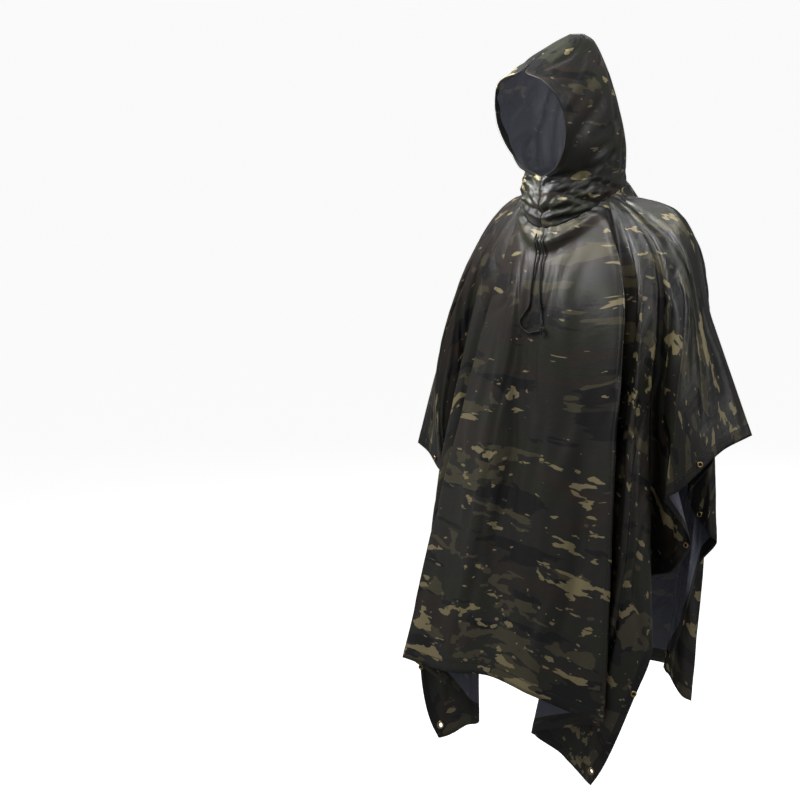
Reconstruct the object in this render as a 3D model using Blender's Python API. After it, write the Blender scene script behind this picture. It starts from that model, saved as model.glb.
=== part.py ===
"""A hooded rain poncho, standing as it is worn, with no wearer: metres, +Z up.

+X is the wearer's left, -Y the front. The origin is where the wearer's neck holds it up: the middle of the
neck at the height of the back neck seam. The body is one rectangle of cloth, draped from the neck seam over
the shoulders. Each row of FOLDS is one ridge or valley of that drape, from the seam down to the cloth's edge.
"""

import math
from collections import namedtuple

import bpy
import numpy as np
from mathutils import Matrix, Vector
from mathutils.bvhtree import BVHTree

CM = 0.01
MM = 0.001

# The cut: a rectangle, measured along its edge from the middle of the front hem
HALF_WIDTH = 71.5 * CM
HALF_LENGTH = 109.0 * CM
TIP_CUT = HALF_WIDTH + HALF_LENGTH
EDGE_LENGTH = 4 * TIP_CUT

# The cloth
WALL = 1.5 * MM
SEAM_GAP = 0.3 * MM
FOLD_SOFTNESS = 0.8 * CM

# The neck seam: an oval, low at the front and high at the back
NECK_HALF_WIDTH = 9.8 * CM
NECK_FRONT = -13.0 * CM
NECK_BACK = 9.8 * CM
NECK_DROP = 8.0 * CM
NECK_DROP_SHAPE = 2.5
NECK_LEAVE = 0.3
NECK_LEAN = math.radians(48)
NECK_TO_SHOULDER = 13.0 * CM
NECK_SPREAD = 25.0 * CM
NECK_SPREAD_SHARE = 0.85
GATHERS = 22
GATHER_DEPTH = 1.0 * MM
GATHER_REACH = 0.14
SEAM_QUIET = 12.0 * CM
HEM_SHARE = 0.022

# How far either side of a point its slope is measured
PROBE_CUT = 0.8 * CM
PROBE_SHARE = 0.008

# Snaps and eyelets
SNAP_INSET = 13.0 * MM
SNAP_RADIUS = 6.0 * MM
SNAP_HEIGHT = 2.4 * MM
SNAP_WELL_RADIUS = 3.1 * MM
SNAP_WELL_DEPTH = 1.2 * MM
EYELET_INSET = 22.0 * MM
EYELET_HOLE_RADIUS = 4.6 * MM
EYELET_RADIUS = 8.0 * MM
EYELET_SHEET = 0.8 * MM
HARDWARE_GAP = 0.6 * MM

DRILL_REACH = 8.0 * MM
SEAT_RAYS = 8
SEAT_PASSES = 3

# Where they sit on the edge, in centimetres round from the middle of the front hem
SNAP_CUTS = {
    "front_left": (158.5, 132.0, 111.5, 90.0),
    "back_left": (196.0, 219.0, 241.0, 266.0),
    "front_right": (563.5, 590.0, 611.5, 634.0),
    "back_right": (526.0, 504.0, 477.0, 452.0),
}
EYELET_CUTS = {"front_left": 70.6, "back_left": 288.6, "front_right": 651.4, "back_right": 431.6}

# The drawcord
CORD_RADIUS = 2.2 * MM
CORD_CLEAR = 0.8 * MM
CORD_STEPS = 4
KNOT_RADIUS = 5.5 * MM
AHEAD = 1.0

Fold = namedtuple("Fold", "name cut shoulder mid edge")

# Centimetres. cut: where the fold line meets the cloth's edge. shoulder, mid, edge: x, y, z on the way down.
FOLDS = [
    Fold("front middle valley", 0.0, (-0.5, -15.0, -17.0), (-2.0, -19.4, -50.0), (-1.5, -28.9, -95.0)),
    Fold("front left ridge", 10.0, (4.5, -15.2, -16.5), (7.0, -22.0, -50.0), (9.0, -29.6, -96.8)),
    Fold("front left valley", 18.0, (9.5, -13.6, -15.0), (13.8, -19.6, -50.0), (16.0, -26.6, -99.6)),
    Fold("left pleat lip", 27.0, (16.2, -11.0, -13.0), (22.2, -20.2, -50.0), (23.2, -25.0, -101.2)),
    Fold("left pleat return", 36.0, (15.8, -9.4, -12.4), (18.4, -17.2, -50.0), (14.5, -24.0, -103.6)),
    Fold("left pleat root", 45.0, (14.8, -8.2, -12.0), (14.4, -14.8, -50.0), (5.4, -24.0, -106.6)),
    Fold("left corner hollow", 54.0, (16.8, -7.2, -11.7), (20.0, -15.2, -50.0), (10.3, -21.6, -110.0)),
    Fold("left corner flat", 62.5, (17.6, -7.6, -11.8), (22.4, -17.0, -50.0), (15.0, -21.8, -113.0)),
    Fold("left front corner", 71.5, (18.1, -7.6, -11.8), (24.2, -18.3, -50.0), (18.5, -22.3, -114.2)),
    Fold("left low snap", 90.5, (18.9, -7.3, -11.4), (25.0, -16.0, -48.0), (26.4, -19.2, -97.0)),
    Fold("left low edge", 101.0, (19.6, -6.3, -11.0), (25.2, -13.2, -46.0), (28.2, -15.8, -88.0)),
    Fold("left third snap", 111.0, (20.2, -5.6, -10.7), (24.8, -11.6, -45.0), (24.8, -12.2, -79.5)),
    Fold("left deep valley", 119.0, (20.6, -4.9, -10.5), (23.0, -8.2, -44.0), (20.0, -6.4, -77.3)),
    Fold("left inner ridge", 127.0, (21.6, -5.0, -10.4), (25.9, -9.0, -46.0), (28.5, -9.4, -74.0)),
    Fold("left second snap", 134.5, (22.4, -4.7, -10.3), (27.8, -9.8, -48.0), (33.2, -10.0, -67.0)),
    Fold("left notch", 144.0, (23.7, -3.5, -10.6), (31.0, -13.0, -44.0), (29.1, -13.2, -59.2)),
    Fold("left sleeve hollow", 150.0, (24.1, -2.9, -10.0), (32.6, -10.8, -39.0), (32.2, -12.6, -57.0)),
    Fold("left first snap", 157.5, (24.0, -2.3, -8.4), (32.6, -8.0, -33.5), (35.2, -10.6, -53.6)),
    Fold("left sleeve front", 169.0, (23.4, -1.1, -6.4), (32.4, -4.0, -28.0), (37.6, -5.4, -49.6)),
    Fold("left sleeve tip", 180.5, (22.4, 0.2, -4.1), (31.4, 0.3, -25.4), (39.6, 0.2, -47.6)),
    Fold("left sleeve back", 190.0, (22.0, 1.8, -4.6), (30.0, 1.8, -27.5), (33.2, 0.8, -49.6)),
    Fold("left back tuck", 200.0, (21.8, 2.9, -5.4), (28.2, 2.4, -32.0), (31.0, 1.2, -54.0)),
    Fold("left back strip", 212.0, (21.2, 3.8, -6.2), (25.2, 2.8, -36.0), (25.3, 1.2, -62.0)),
    Fold("left back turn", 226.0, (21.4, 4.9, -7.0), (27.6, 4.6, -38.0), (30.2, 3.2, -69.6)),
    Fold("left back snap", 241.0, (20.8, 6.2, -7.8), (26.0, 6.4, -40.0), (26.4, 3.6, -75.6)),
    Fold("left back edge", 258.0, (20.0, 6.9, -8.2), (25.2, 6.3, -43.0), (26.0, -0.8, -84.6)),
    Fold("left back flap", 274.5, (19.4, 7.1, -8.4), (24.2, 6.5, -48.0), (23.6, 0.0, -90.6)),
    Fold("left back corner", 289.5, (18.7, 7.7, -8.6), (22.6, 7.3, -52.0), (20.6, 0.6, -96.4)),
    Fold("left back hollow", 295.0, (18.2, 8.2, -8.8), (22.6, 8.2, -56.0), (20.4, 2.2, -99.0)),
    Fold("left back fold", 301.0, (17.6, 8.7, -9.2), (23.4, 9.8, -60.0), (23.4, 3.8, -103.4)),
    Fold("left back side", 312.0, (16.0, 9.4, -9.6), (20.8, 11.2, -52.0), (21.0, 6.9, -102.4)),
    Fold("left back pleat hollow", 324.0, (13.6, 9.4, -10.2), (17.0, 11.2, -50.0), (13.2, 12.6, -100.0)),
    Fold("left back pleat root", 333.0, (10.8, 9.8, -10.6), (10.4, 11.2, -50.0), (4.8, 14.0, -100.0)),
    Fold("left back pleat lip", 342.0, (12.0, 11.4, -11.2), (14.0, 14.6, -50.0), (13.2, 18.6, -100.0)),
    Fold("back left swell", 351.0, (6.4, 12.4, -11.8), (7.4, 16.6, -50.0), (7.6, 21.8, -99.4)),
    Fold("back middle valley", 361.0, (1.0, 12.2, -12.0), (0.6, 15.4, -50.0), (0.6, 21.4, -97.4)),
    Fold("back right ridge", 371.0, (-4.6, 12.6, -11.8), (-6.4, 17.0, -50.0), (-6.4, 22.8, -96.4)),
    Fold("back right valley", 381.0, (-9.6, 11.4, -11.2), (-12.6, 14.2, -50.0), (-14.6, 20.4, -97.2)),
    Fold("right back pleat lip", 394.0, (-16.6, 9.6, -10.6), (-23.6, 13.0, -50.0), (-30.4, 15.8, -98.4)),
    Fold("right back pleat return", 403.0, (-15.8, 8.4, -10.2), (-19.8, 10.4, -50.0), (-21.0, 15.2, -101.0)),
    Fold("right back pleat root", 411.0, (-14.8, 7.6, -9.9), (-15.0, 8.8, -50.0), (-12.2, 16.0, -104.0)),
    Fold("right back hollow", 422.0, (-17.4, 6.8, -9.6), (-20.4, 7.2, -49.0), (-18.6, 12.4, -106.0)),
    Fold("right back corner", 432.5, (-18.8, 6.6, -9.4), (-24.6, 8.0, -47.0), (-24.4, 9.6, -107.6)),
    Fold("right back low snap", 451.5, (-19.8, 6.0, -9.1), (-27.0, 8.2, -45.0), (-27.4, 6.0, -91.0)),
    Fold("right back valley", 469.0, (-20.6, 5.0, -8.8), (-26.6, 5.0, -42.0), (-26.0, 1.2, -79.6)),
    Fold("right back ridge", 484.0, (-21.6, 4.4, -8.3), (-29.8, 5.6, -39.0), (-31.0, 4.8, -74.0)),
    Fold("right back notch", 499.0, (-22.0, 4.2, -8.0), (-30.4, 2.6, -36.0), (-32.6, 0.8, -66.4)),
    Fold("right sleeve back", 520.0, (-21.8, 3.4, -7.0), (-31.4, 2.4, -32.0), (-35.8, -0.4, -60.0)),
    Fold("right sleeve tip", 541.5, (-21.4, 2.2, -6.4), (-32.2, -0.8, -30.0), (-38.8, -4.2, -57.0)),
    Fold("right sleeve front", 553.0, (-21.6, 0.6, -7.8), (-31.9, -4.0, -33.0), (-35.0, -5.8, -58.2)),
    Fold("right first snap", 564.5, (-21.2, -0.8, -9.0), (-31.8, -6.4, -38.0), (-31.0, -8.2, -60.2)),
    Fold("right notch", 578.0, (-20.4, -1.9, -9.4), (-30.4, -8.2, -43.0), (-27.2, -10.4, -62.0)),
    Fold("right second snap", 587.5, (-19.6, -2.6, -9.6), (-28.8, -8.0, -47.0), (-26.6, -8.8, -67.5)),
    Fold("right inner ridge", 595.0, (-18.8, -3.1, -9.8), (-27.4, -6.8, -46.0), (-25.4, -7.4, -73.0)),
    Fold("right deep valley", 603.0, (-18.0, -3.4, -9.9), (-25.4, -4.8, -45.0), (-20.0, -5.6, -77.0)),
    Fold("right third snap", 611.0, (-17.2, -3.8, -10.1), (-24.4, -7.0, -46.0), (-22.0, -11.6, -80.0)),
    Fold("right low edge", 621.0, (-16.4, -4.3, -10.3), (-25.4, -8.6, -47.0), (-26.4, -17.0, -88.0)),
    Fold("right low snap", 631.5, (-15.9, -4.3, -10.6), (-25.2, -10.9, -49.0), (-24.2, -22.0, -97.5)),
    Fold("right front corner", 650.5, (-14.8, -4.6, -11.0), (-23.0, -12.4, -51.0), (-18.8, -22.8, -111.7)),
    Fold("right corner hollow", 663.0, (-13.4, -5.0, -11.4), (-19.6, -10.8, -52.0), (-13.0, -21.6, -108.9)),
    Fold("right pleat root", 676.0, (-12.0, -5.8, -11.8), (-14.8, -12.0, -52.0), (-9.6, -23.0, -106.2)),
    Fold("right pleat return", 685.0, (-12.4, -6.6, -12.2), (-18.4, -12.4, -52.0), (-15.6, -25.6, -99.6)),
    Fold("right pleat lip", 694.0, (-12.4, -7.8, -12.8), (-21.6, -13.4, -52.0), (-23.6, -27.8, -95.2)),
    Fold("front right valley", 703.0, (-8.4, -12.4, -15.2), (-12.8, -18.2, -50.0), (-16.8, -28.6, -95.8)),
    Fold("front right ridge", 712.5, (-4.6, -14.8, -16.4), (-6.6, -21.4, -50.0), (-9.0, -30.2, -95.4)),
]

Turn = namedtuple("Turn", "cut towards shoulder mid edge")

# Where the cloth turns back on itself. towards: the way, in degrees from +X, that the layer after the turn
# lies from the layer before it. shoulder, mid, edge: how far apart the two layers are held there, in cm.
TURNS = [
    Turn(27.0, 105.0, 0.4, 1.2, 1.7),
    Turn(45.0, 95.0, 0.7, 1.2, 1.7),
    Turn(119.0, 30.0, 0.2, 1.2, 1.6),
    Turn(134.5, -80.0, 0.0, 0.5, 1.5),
    Turn(144.0, -75.0, 0.0, 0.5, 1.5),
    Turn(212.0, 95.0, 0.4, 1.2, 1.7),
    Turn(226.0, 75.0, 0.3, 1.0, 1.7),
    Turn(293.0, 95.0, 0.1, 0.8, 1.2),
    Turn(301.0, 90.0, 0.3, 1.2, 1.6),
    Turn(333.0, 100.0, 0.3, 1.2, 1.8),
    Turn(342.0, 85.0, 0.4, 1.2, 1.8),
    Turn(394.0, -70.0, 0.7, 1.2, 1.7),
    Turn(411.0, -100.0, 0.6, 1.2, 1.7),
    Turn(469.0, -165.0, 0.4, 1.0, 1.5),
    Turn(603.0, -30.0, 0.2, 1.0, 1.5),
    Turn(676.0, -85.0, 0.2, 1.1, 1.7),
    Turn(694.0, -105.0, 0.2, 1.2, 1.7),
]
TURN_WIDTH = 1.0 * CM
TURN_REACH = 5.0 * CM

Section = namedtuple("Section", "z half_width widest_y back_y edge_x edge_y")

# The left half of the hood in centimetres, from the crown down. Where edge_x is 0 the section is closed in
# front; elsewhere (edge_x, edge_y) is a point of the face opening's rim.
HOOD_SECTIONS = [
    Section(29.9, 0.5, -1.5, 0.8, 0.0, -3.6),
    Section(28.7, 2.4, -2.4, 3.4, 0.0, -6.5),
    Section(26.4, 4.3, -4.2, 4.8, 0.0, -12.3),
    Section(24.4, 6.0, -6.0, 5.4, 0.0, -16.7),
    Section(22.8, 7.2, -6.8, 5.7, 0.4, -19.8),
    Section(21.8, 7.9, -7.2, 5.9, 4.6, -19.7),
    Section(19.8, 8.9, -7.4, 6.2, 6.8, -19.0),
    Section(16.9, 9.7, -6.4, 6.9, 8.0, -17.8),
    Section(12.5, 10.2, -5.0, 8.0, 8.5, -16.6),
    Section(7.7, 10.2, -3.5, 9.4, 7.0, -15.4),
    Section(3.8, 9.5, -2.2, 10.0, 4.0, -14.2),
    Section(2.2, 9.2, -1.7, 10.3, 0.4, -13.1),
]
# Height as a share of the way from the lowest section to the neck seam, and how far the cloth stands out there
THROAT_ROLLS = [(0.3, 0.5 * CM), (0.55, -0.2 * CM), (0.8, 0.9 * CM)]

BODY_ROWS = 12
FRONT_COLUMNS = 105
BACK_COLUMNS = 88
COLUMN_SPACING = 3.0 * CM
COLUMN_BEND = math.radians(22)
HOOD_COLUMNS = 12
TABLE_STEP = 0.25 * CM

CLOTH_COLOUR = (0.028, 0.027, 0.024, 1.0)
BRASS_COLOUR = (0.50, 0.36, 0.16, 1.0)
CORD_COLOUR = (0.008, 0.008, 0.008, 1.0)

# Each strand from the throat to the knot, in centimetres: x, z, and how far it stands off the chest
CORD_LEFT = [
    (0.9, -8.9, 0.30), (1.3, -14.5, 0.30), (1.9, -20.4, 0.05), (2.4, -23.4, 0.05), (3.1, -25.4, 0.05),
    (3.9, -26.6, 0.08),
]
CORD_RIGHT = [
    (-0.5, -9.1, 0.30), (-0.4, -15.0, 0.30), (-0.7, -20.5, 0.05), (-0.8, -23.4, 0.05), (-1.8, -25.0, 0.05),
    (-2.5, -26.6, 0.05), (-1.7, -28.0, 0.05), (0.0, -28.5, 0.05), (1.8, -28.1, 0.05), (3.35, -27.8, 0.08),
]
KNOT_AT = (4.15, -27.35)
KNOT_STAND = 0.05 * CM


def periodic_samples(knots, values, period, at):
    """A smooth closed curve through values at the uneven knots, sampled at the places in at."""
    wrapped = np.concatenate([knots[-2:] - period, knots, knots[:2] + period])
    points = np.concatenate([values[-2:], values, values[:2]])
    steps = np.diff(wrapped)[:, None]
    slopes = np.diff(points, axis=0) / steps
    tangents = (slopes[:-1] * steps[1:] + slopes[1:] * steps[:-1]) / (steps[:-1] + steps[1:])
    index = np.clip(np.searchsorted(wrapped, at, side="right") - 1, 1, len(wrapped) - 3)
    step = steps[index]
    t = (at - wrapped[index])[:, None] / step
    start, end = points[index], points[index + 1]
    leave, arrive = tangents[index - 1] * step, tangents[index] * step
    return (
        start * (1 + 2 * t) * (1 - t) ** 2
        + leave * t * (1 - t) ** 2
        + end * t * t * (3 - 2 * t)
        + arrive * t * t * (t - 1)
    )


def smooth_ring(values, softness, step):
    """A closed ring of samples, each averaged with its neighbours by a bell curve of this width."""
    reach = int(4 * softness / step)
    offsets = np.arange(-reach, reach + 1) * step
    weights = np.exp(-0.5 * (offsets / softness) ** 2)
    weights /= weights.sum()
    padded = np.concatenate([values[-reach:], values, values[:reach]])
    return np.stack([np.convolve(column, weights, "valid") for column in padded.T], axis=1)


def fold_controls(cuts):
    """The shoulder, mid and edge points of the drape, in metres, for each place along the cloth's edge."""
    knots = np.array([fold.cut for fold in FOLDS]) * CM
    values = np.array([fold.shoulder + fold.mid + fold.edge for fold in FOLDS]) * CM
    dense = np.arange(0.0, EDGE_LENGTH, TABLE_STEP)
    ring = periodic_samples(knots, values, EDGE_LENGTH, dense)
    for turn in TURNS:
        away = np.mod(dense - turn.cut * CM + EDGE_LENGTH / 2, EDGE_LENGTH) - EDGE_LENGTH / 2
        held = 0.5 * np.tanh(away / TURN_WIDTH) * np.exp(-((away / TURN_REACH) ** 2))
        angle = math.radians(turn.towards)
        for level, gap in enumerate((turn.shoulder, turn.mid, turn.edge)):
            ring[:, 3 * level] += held * gap * CM * math.cos(angle)
            ring[:, 3 * level + 1] += held * gap * CM * math.sin(angle)
    ring = smooth_ring(ring, FOLD_SOFTNESS, TABLE_STEP)
    wrapped = np.mod(cuts, EDGE_LENGTH)
    around = np.append(dense, EDGE_LENGTH)
    closed = np.vstack([ring, ring[:1]])
    found = np.stack([np.interp(wrapped, around, column) for column in closed.T], axis=1)
    return found.reshape(-1, 3, 3)


def cut_position(cuts):
    """x and y on the flat rectangle of the place this far round its edge from the middle of the front hem."""
    sides = np.cumsum([0.0, HALF_WIDTH, 2 * HALF_LENGTH, 2 * HALF_WIDTH, 2 * HALF_LENGTH, HALF_WIDTH])
    xs = np.array([0.0, 1.0, 1.0, -1.0, -1.0, 0.0]) * HALF_WIDTH
    ys = np.array([-1.0, -1.0, 1.0, 1.0, -1.0, -1.0]) * HALF_LENGTH
    wrapped = np.mod(cuts, EDGE_LENGTH)
    return np.interp(wrapped, sides, xs), np.interp(wrapped, sides, ys)


def neck_seam(turns):
    """The seam between hood and body. A turn of 0 is its front, pi/2 the wearer's left."""
    middle, reach = (NECK_FRONT + NECK_BACK) / 2, (NECK_BACK - NECK_FRONT) / 2
    drop = NECK_DROP * ((1 + np.cos(turns)) / 2) ** NECK_DROP_SHAPE
    return np.stack([NECK_HALF_WIDTH * np.sin(turns), middle - reach * np.cos(turns), -drop], axis=-1)


def neck_turns(cuts):
    """Where on the neck seam each string starts: the middle of the front and of the back takes most of the
    seam, and the cloth of the sides is gathered over the shoulders."""
    ahead = np.mod(cuts + EDGE_LENGTH / 2, EDGE_LENGTH) - EDGE_LENGTH / 2
    front = np.abs(ahead) <= TIP_CUT
    away = np.where(front, np.abs(ahead), EDGE_LENGTH / 2 - np.abs(ahead))
    middle = np.tanh(away / NECK_SPREAD) / math.tanh(TIP_CUT / NECK_SPREAD)
    turns = math.pi / 2 * (NECK_SPREAD_SHARE * middle + (1 - NECK_SPREAD_SHARE) * away / TIP_CUT)
    return np.sign(ahead) * np.where(front, turns, math.pi - turns)


def drape(cuts, shares):
    """Middle of the cloth: one string for each cut, from the neck seam (share 0) to the cloth's edge (1)."""
    turns = neck_turns(cuts)
    out = np.stack([np.sin(turns), -np.cos(turns), np.zeros_like(turns)], axis=1)
    controls = np.concatenate([neck_seam(turns)[:, None], fold_controls(cuts)], axis=1)
    chords = np.diff(controls, axis=1)
    lengths = np.linalg.norm(chords, axis=2, keepdims=True)
    slopes = chords / lengths
    bends = (slopes[:, :-1] * lengths[:, 1:] + slopes[:, 1:] * lengths[:, :-1]) / (
        lengths[:, :-1] + lengths[:, 1:]
    )
    leave = NECK_LEAVE * (out * math.sin(NECK_LEAN) - np.array([0.0, 0.0, math.cos(NECK_LEAN)]))
    arrive = 1.5 * slopes[:, -1] - 0.5 * bends[:, -1]
    tangents = np.concatenate([leave[:, None], bends, arrive[:, None]], axis=1)
    knots = np.concatenate([np.zeros((len(turns), 1)), np.cumsum(lengths[..., 0], axis=1)], axis=1)
    along = shares[:, None] * knots[None, :, -1]
    grid = np.empty(along.shape + (3,))
    for column in range(len(turns)):
        index = np.clip(np.searchsorted(knots[column], along[:, column], side="right") - 1, 0, 2)
        step = lengths[column, index]
        t = (along[:, column, None] - knots[column, index][:, None]) / step
        grid[:, column] = (
            controls[column, index] * (1 + 2 * t) * (1 - t) ** 2
            + tangents[column, index] * step * t * (1 - t) ** 2
            + controls[column, index + 1] * t * t * (3 - 2 * t)
            + tangents[column, index + 1] * step * t * t * (t - 1)
        )
    return grid


def unit(vectors):
    return vectors / np.linalg.norm(vectors, axis=-1, keepdims=True)


def drape_normals(cuts, shares):
    """Outward normals of the drape, level all round the neck seam so that the two walls there stay apart."""
    around = drape(cuts + PROBE_CUT, shares) - drape(cuts - PROBE_CUT, shares)
    low, high = np.clip(shares - PROBE_SHARE, 0, 1), np.clip(shares + PROBE_SHARE, 0, 1)
    down = drape(cuts, high) - drape(cuts, low)
    normals = unit(np.cross(down, around))
    turns = neck_turns(cuts)
    reach = (NECK_BACK - NECK_FRONT) / 2
    normals[0] = unit(np.stack([reach * np.sin(turns), -NECK_HALF_WIDTH * np.cos(turns), 0 * turns], axis=1))
    return normals


def wall_mesh(middle, normals, thickness):
    """Vertices and faces of a closed wall round a grid whose rows run down and whose columns run leftwards."""
    rows, columns = middle.shape[:2]
    half = normals * (thickness / 2)[:, None, None]
    vertices = np.concatenate([(middle + half).reshape(-1, 3), (middle - half).reshape(-1, 3)])
    index = np.arange(rows * columns).reshape(rows, columns)
    a, b, c, d = index[:-1, :-1], index[:-1, 1:], index[1:, 1:], index[1:, :-1]
    inner = rows * columns
    quads = [
        np.stack([a, d, c, b], axis=-1).reshape(-1, 4),
        np.stack([a, b, c, d], axis=-1).reshape(-1, 4) + inner,
    ]
    borders = [index[0], index[:, -1], index[-1, ::-1], index[::-1, 0]]
    for border in borders:
        start, end = border[:-1], border[1:]
        quads.append(np.stack([start, end, end + inner, start + inner], axis=1))
    return vertices, np.concatenate(quads)


def material(name, colour, roughness, metallic=0.0):
    made = bpy.data.materials.new(name)
    made.use_nodes = True
    shader = made.node_tree.nodes["Principled BSDF"]
    shader.inputs["Base Color"].default_value = colour
    shader.inputs["Roughness"].default_value = roughness
    shader.inputs["Metallic"].default_value = metallic
    return made


def add_mesh(name, vertices, faces, look):
    mesh = bpy.data.meshes.new(name)
    mesh.from_pydata([tuple(v) for v in vertices], [], [tuple(int(i) for i in f) for f in faces])
    mesh.validate()
    mesh.materials.append(look)
    mesh.shade_smooth()
    made = bpy.data.objects.new(name, mesh)
    bpy.context.scene.collection.objects.link(made)
    return made


def body_columns(first, last, count):
    """Places round the edge that the drape is cut at: evenly spread, and crowded where the cloth bends most."""
    dense = np.linspace(first, last, int((last - first) / TABLE_STEP) + 1)
    rings = fold_controls(dense)[:, 1:, :2]
    steps = np.diff(rings, axis=0)
    headings = np.unwrap(np.arctan2(steps[..., 1], steps[..., 0]), axis=0)
    bends = np.abs(np.diff(headings, axis=0, prepend=headings[:1])).max(axis=1)
    measure = np.linalg.norm(steps, axis=2).max(axis=1) / COLUMN_SPACING + bends / COLUMN_BEND
    along = np.concatenate([[0.0], np.cumsum(measure + 0.05)])
    return np.interp(np.linspace(0, along[-1], count), along, dense)


def body_piece(name, first, last, count, shift, look):
    """One half of the body, between two sleeve tips, moved by half a seam gap away from the other half."""
    cuts = body_columns(first, last, count)
    shares = np.linspace(0, 1, BODY_ROWS) ** 1.1
    shares = np.append(shares[:-1], [1 - HEM_SHARE, 1.0])
    middle, normals = drape(cuts, shares), drape_normals(cuts, shares)
    waves = GATHER_DEPTH * np.exp(-shares / GATHER_REACH)[:, None] * np.cos(GATHERS * neck_turns(cuts))
    waves *= np.clip(np.minimum(cuts - first, last - cuts) / SEAM_QUIET, 0, 1)
    middle = middle + normals * waves[..., None]
    middle[0, :, 2] -= SEAM_GAP
    middle[..., 1] += shift
    thickness = np.full(len(shares), WALL)
    vertices, faces = wall_mesh(middle, normals, thickness)
    return add_mesh(name, vertices, faces, look)


def hood_half(name, side, look):
    """One half of the hood; side is 1 for the wearer's left. It ends just above the neck seam."""
    table = np.array([tuple(section) for section in HOOD_SECTIONS]) * CM
    heights = np.concatenate([np.linspace(a, b, 3)[:-1] for a, b in zip(table[:-1, 0], table[1:, 0])])
    heights = np.append(heights, table[-1, 0])
    rows = np.stack([np.interp(-heights, -table[:, 0], column) for column in table.T], axis=1)
    across = np.linspace(0, 1, HOOD_COLUMNS)
    grid = []
    for z, half_width, widest_y, back_y, edge_x, edge_y in rows:
        start = math.asin(min(1.0, edge_x / max(half_width, MM)))
        reach = (widest_y - edge_y) / math.cos(start)
        turns = start + (math.pi - start) * across
        depth = np.where(turns < math.pi / 2, reach, back_y - widest_y)
        grid.append(
            np.stack(
                [half_width * np.sin(turns), widest_y - depth * np.cos(turns), np.full(HOOD_COLUMNS, z)],
                axis=1,
            )
        )
    lowest = grid[-1]
    turns = math.pi * across
    seam = neck_seam(turns)
    seam[:, 2] += 2 * SEAM_GAP
    out = np.stack([np.sin(turns), -np.cos(turns), np.zeros_like(turns)], axis=1)
    front = (((1 + np.cos(turns)) / 2) ** 2)[:, None]
    for share, stand in [*THROAT_ROLLS, (1.0, 0.0)]:
        grid.append(lowest + (seam - lowest) * share + out * stand * front)
    middle = np.array(grid)
    down, around = np.gradient(middle, axis=0), np.gradient(middle, axis=1)
    normals = np.cross(down, around)
    normals[:, -1, 0] = 0.0
    normals[0] = (0.0, 0.0, 1.0)
    closed = rows[:, 4] < 0.1 * CM
    closed = np.append(closed, [True] * (len(THROAT_ROLLS) + 1))
    normals[closed, 0, 0] = 0.0
    normals[-1, :, 2] = 0.0
    normals = unit(normals)
    middle[closed, 0, 0] = 0.0
    middle[..., 0] += SEAM_GAP / 2
    vertices, faces = wall_mesh(middle, normals, np.full(len(middle), WALL))
    if side < 0:
        vertices[:, 0] *= -1
        faces = faces[:, ::-1]
    return add_mesh(name, vertices, faces, look)


def turned(profile, segments):
    """Vertices and faces of a closed outline of (radius, height) turned about Z; radius 0 makes one point."""
    vertices, rings = [], []
    for radius, height in profile:
        count = 1 if radius == 0 else segments
        rings.append(range(len(vertices), len(vertices) + count))
        for step in range(count):
            angle = 2 * math.pi * step / segments
            vertices.append((radius * math.cos(angle), radius * math.sin(angle), height))
    faces = []
    pairs = list(zip(rings, rings[1:])) if profile[0][0] == 0 else list(zip(rings, [*rings[1:], rings[0]]))
    for low, high in pairs:
        for step in range(segments):
            after = (step + 1) % segments
            if len(low) == 1:
                faces.append((low[0], high[after], high[step]))
            elif len(high) == 1:
                faces.append((low[step], low[after], high[0]))
            else:
                faces.append((low[step], low[after], high[after], high[step]))
    return vertices, faces


def wall_tree(host):
    mesh = host.data
    return BVHTree.FromPolygons([v.co for v in mesh.vertices], [tuple(f.vertices) for f in mesh.polygons])


def seat(tree, cut, inset, radius):
    """Where a round piece sits on the cloth: its frame, and how far the wall reaches above and below it."""
    controls = fold_controls(np.array([cut]))
    length = np.linalg.norm(np.diff(controls, axis=1), axis=2).sum() + NECK_TO_SHOULDER
    shares = np.array([0.0, 1 - inset / length])
    point = Vector(drape(np.array([cut]), shares)[1, 0])
    normal = Vector(drape_normals(np.array([cut]), shares)[1, 0])
    for _ in range(SEAT_PASSES):
        frame = normal.to_track_quat("Z", "Y").to_matrix()
        above, below, top = [], [], []
        for step in range(SEAT_RAYS + 1):
            angle, reach = 2 * math.pi * step / SEAT_RAYS, radius if step < SEAT_RAYS else 0.0
            foot = point + frame @ Vector((reach * math.cos(angle), reach * math.sin(angle), 0.0))
            high = tree.ray_cast(foot + normal * DRILL_REACH, -normal, 2 * DRILL_REACH)[0]
            low = tree.ray_cast(foot - normal * DRILL_REACH, normal, 2 * DRILL_REACH)[0]
            if high is not None and low is not None:
                above.append((high - point).dot(normal))
                below.append((low - point).dot(normal))
                top.append(high)
        if len(top) == SEAT_RAYS + 1:
            spokes = [rim - top[-1] for rim in top[:-1]]
            normal = sum((a.cross(b) for a, b in zip(spokes, spokes[1:] + spokes[:1])), Vector()).normalized()
    place = Matrix.Translation(point) @ normal.to_track_quat("Z", "Y").to_matrix().to_4x4()
    return place, max(above), min(below)


def rested(tree, x, z, stand):
    """The point in front of the cloth at x and z that stands this far off the nearest cloth."""
    ahead = [
        tree.ray_cast(Vector((x + side, -AHEAD, z)), Vector((0.0, 1.0, 0.0)))[0].y
        for side in (-CORD_RADIUS, 0.0, CORD_RADIUS)
    ]
    return Vector((x, min(ahead) - stand, z))


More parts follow.
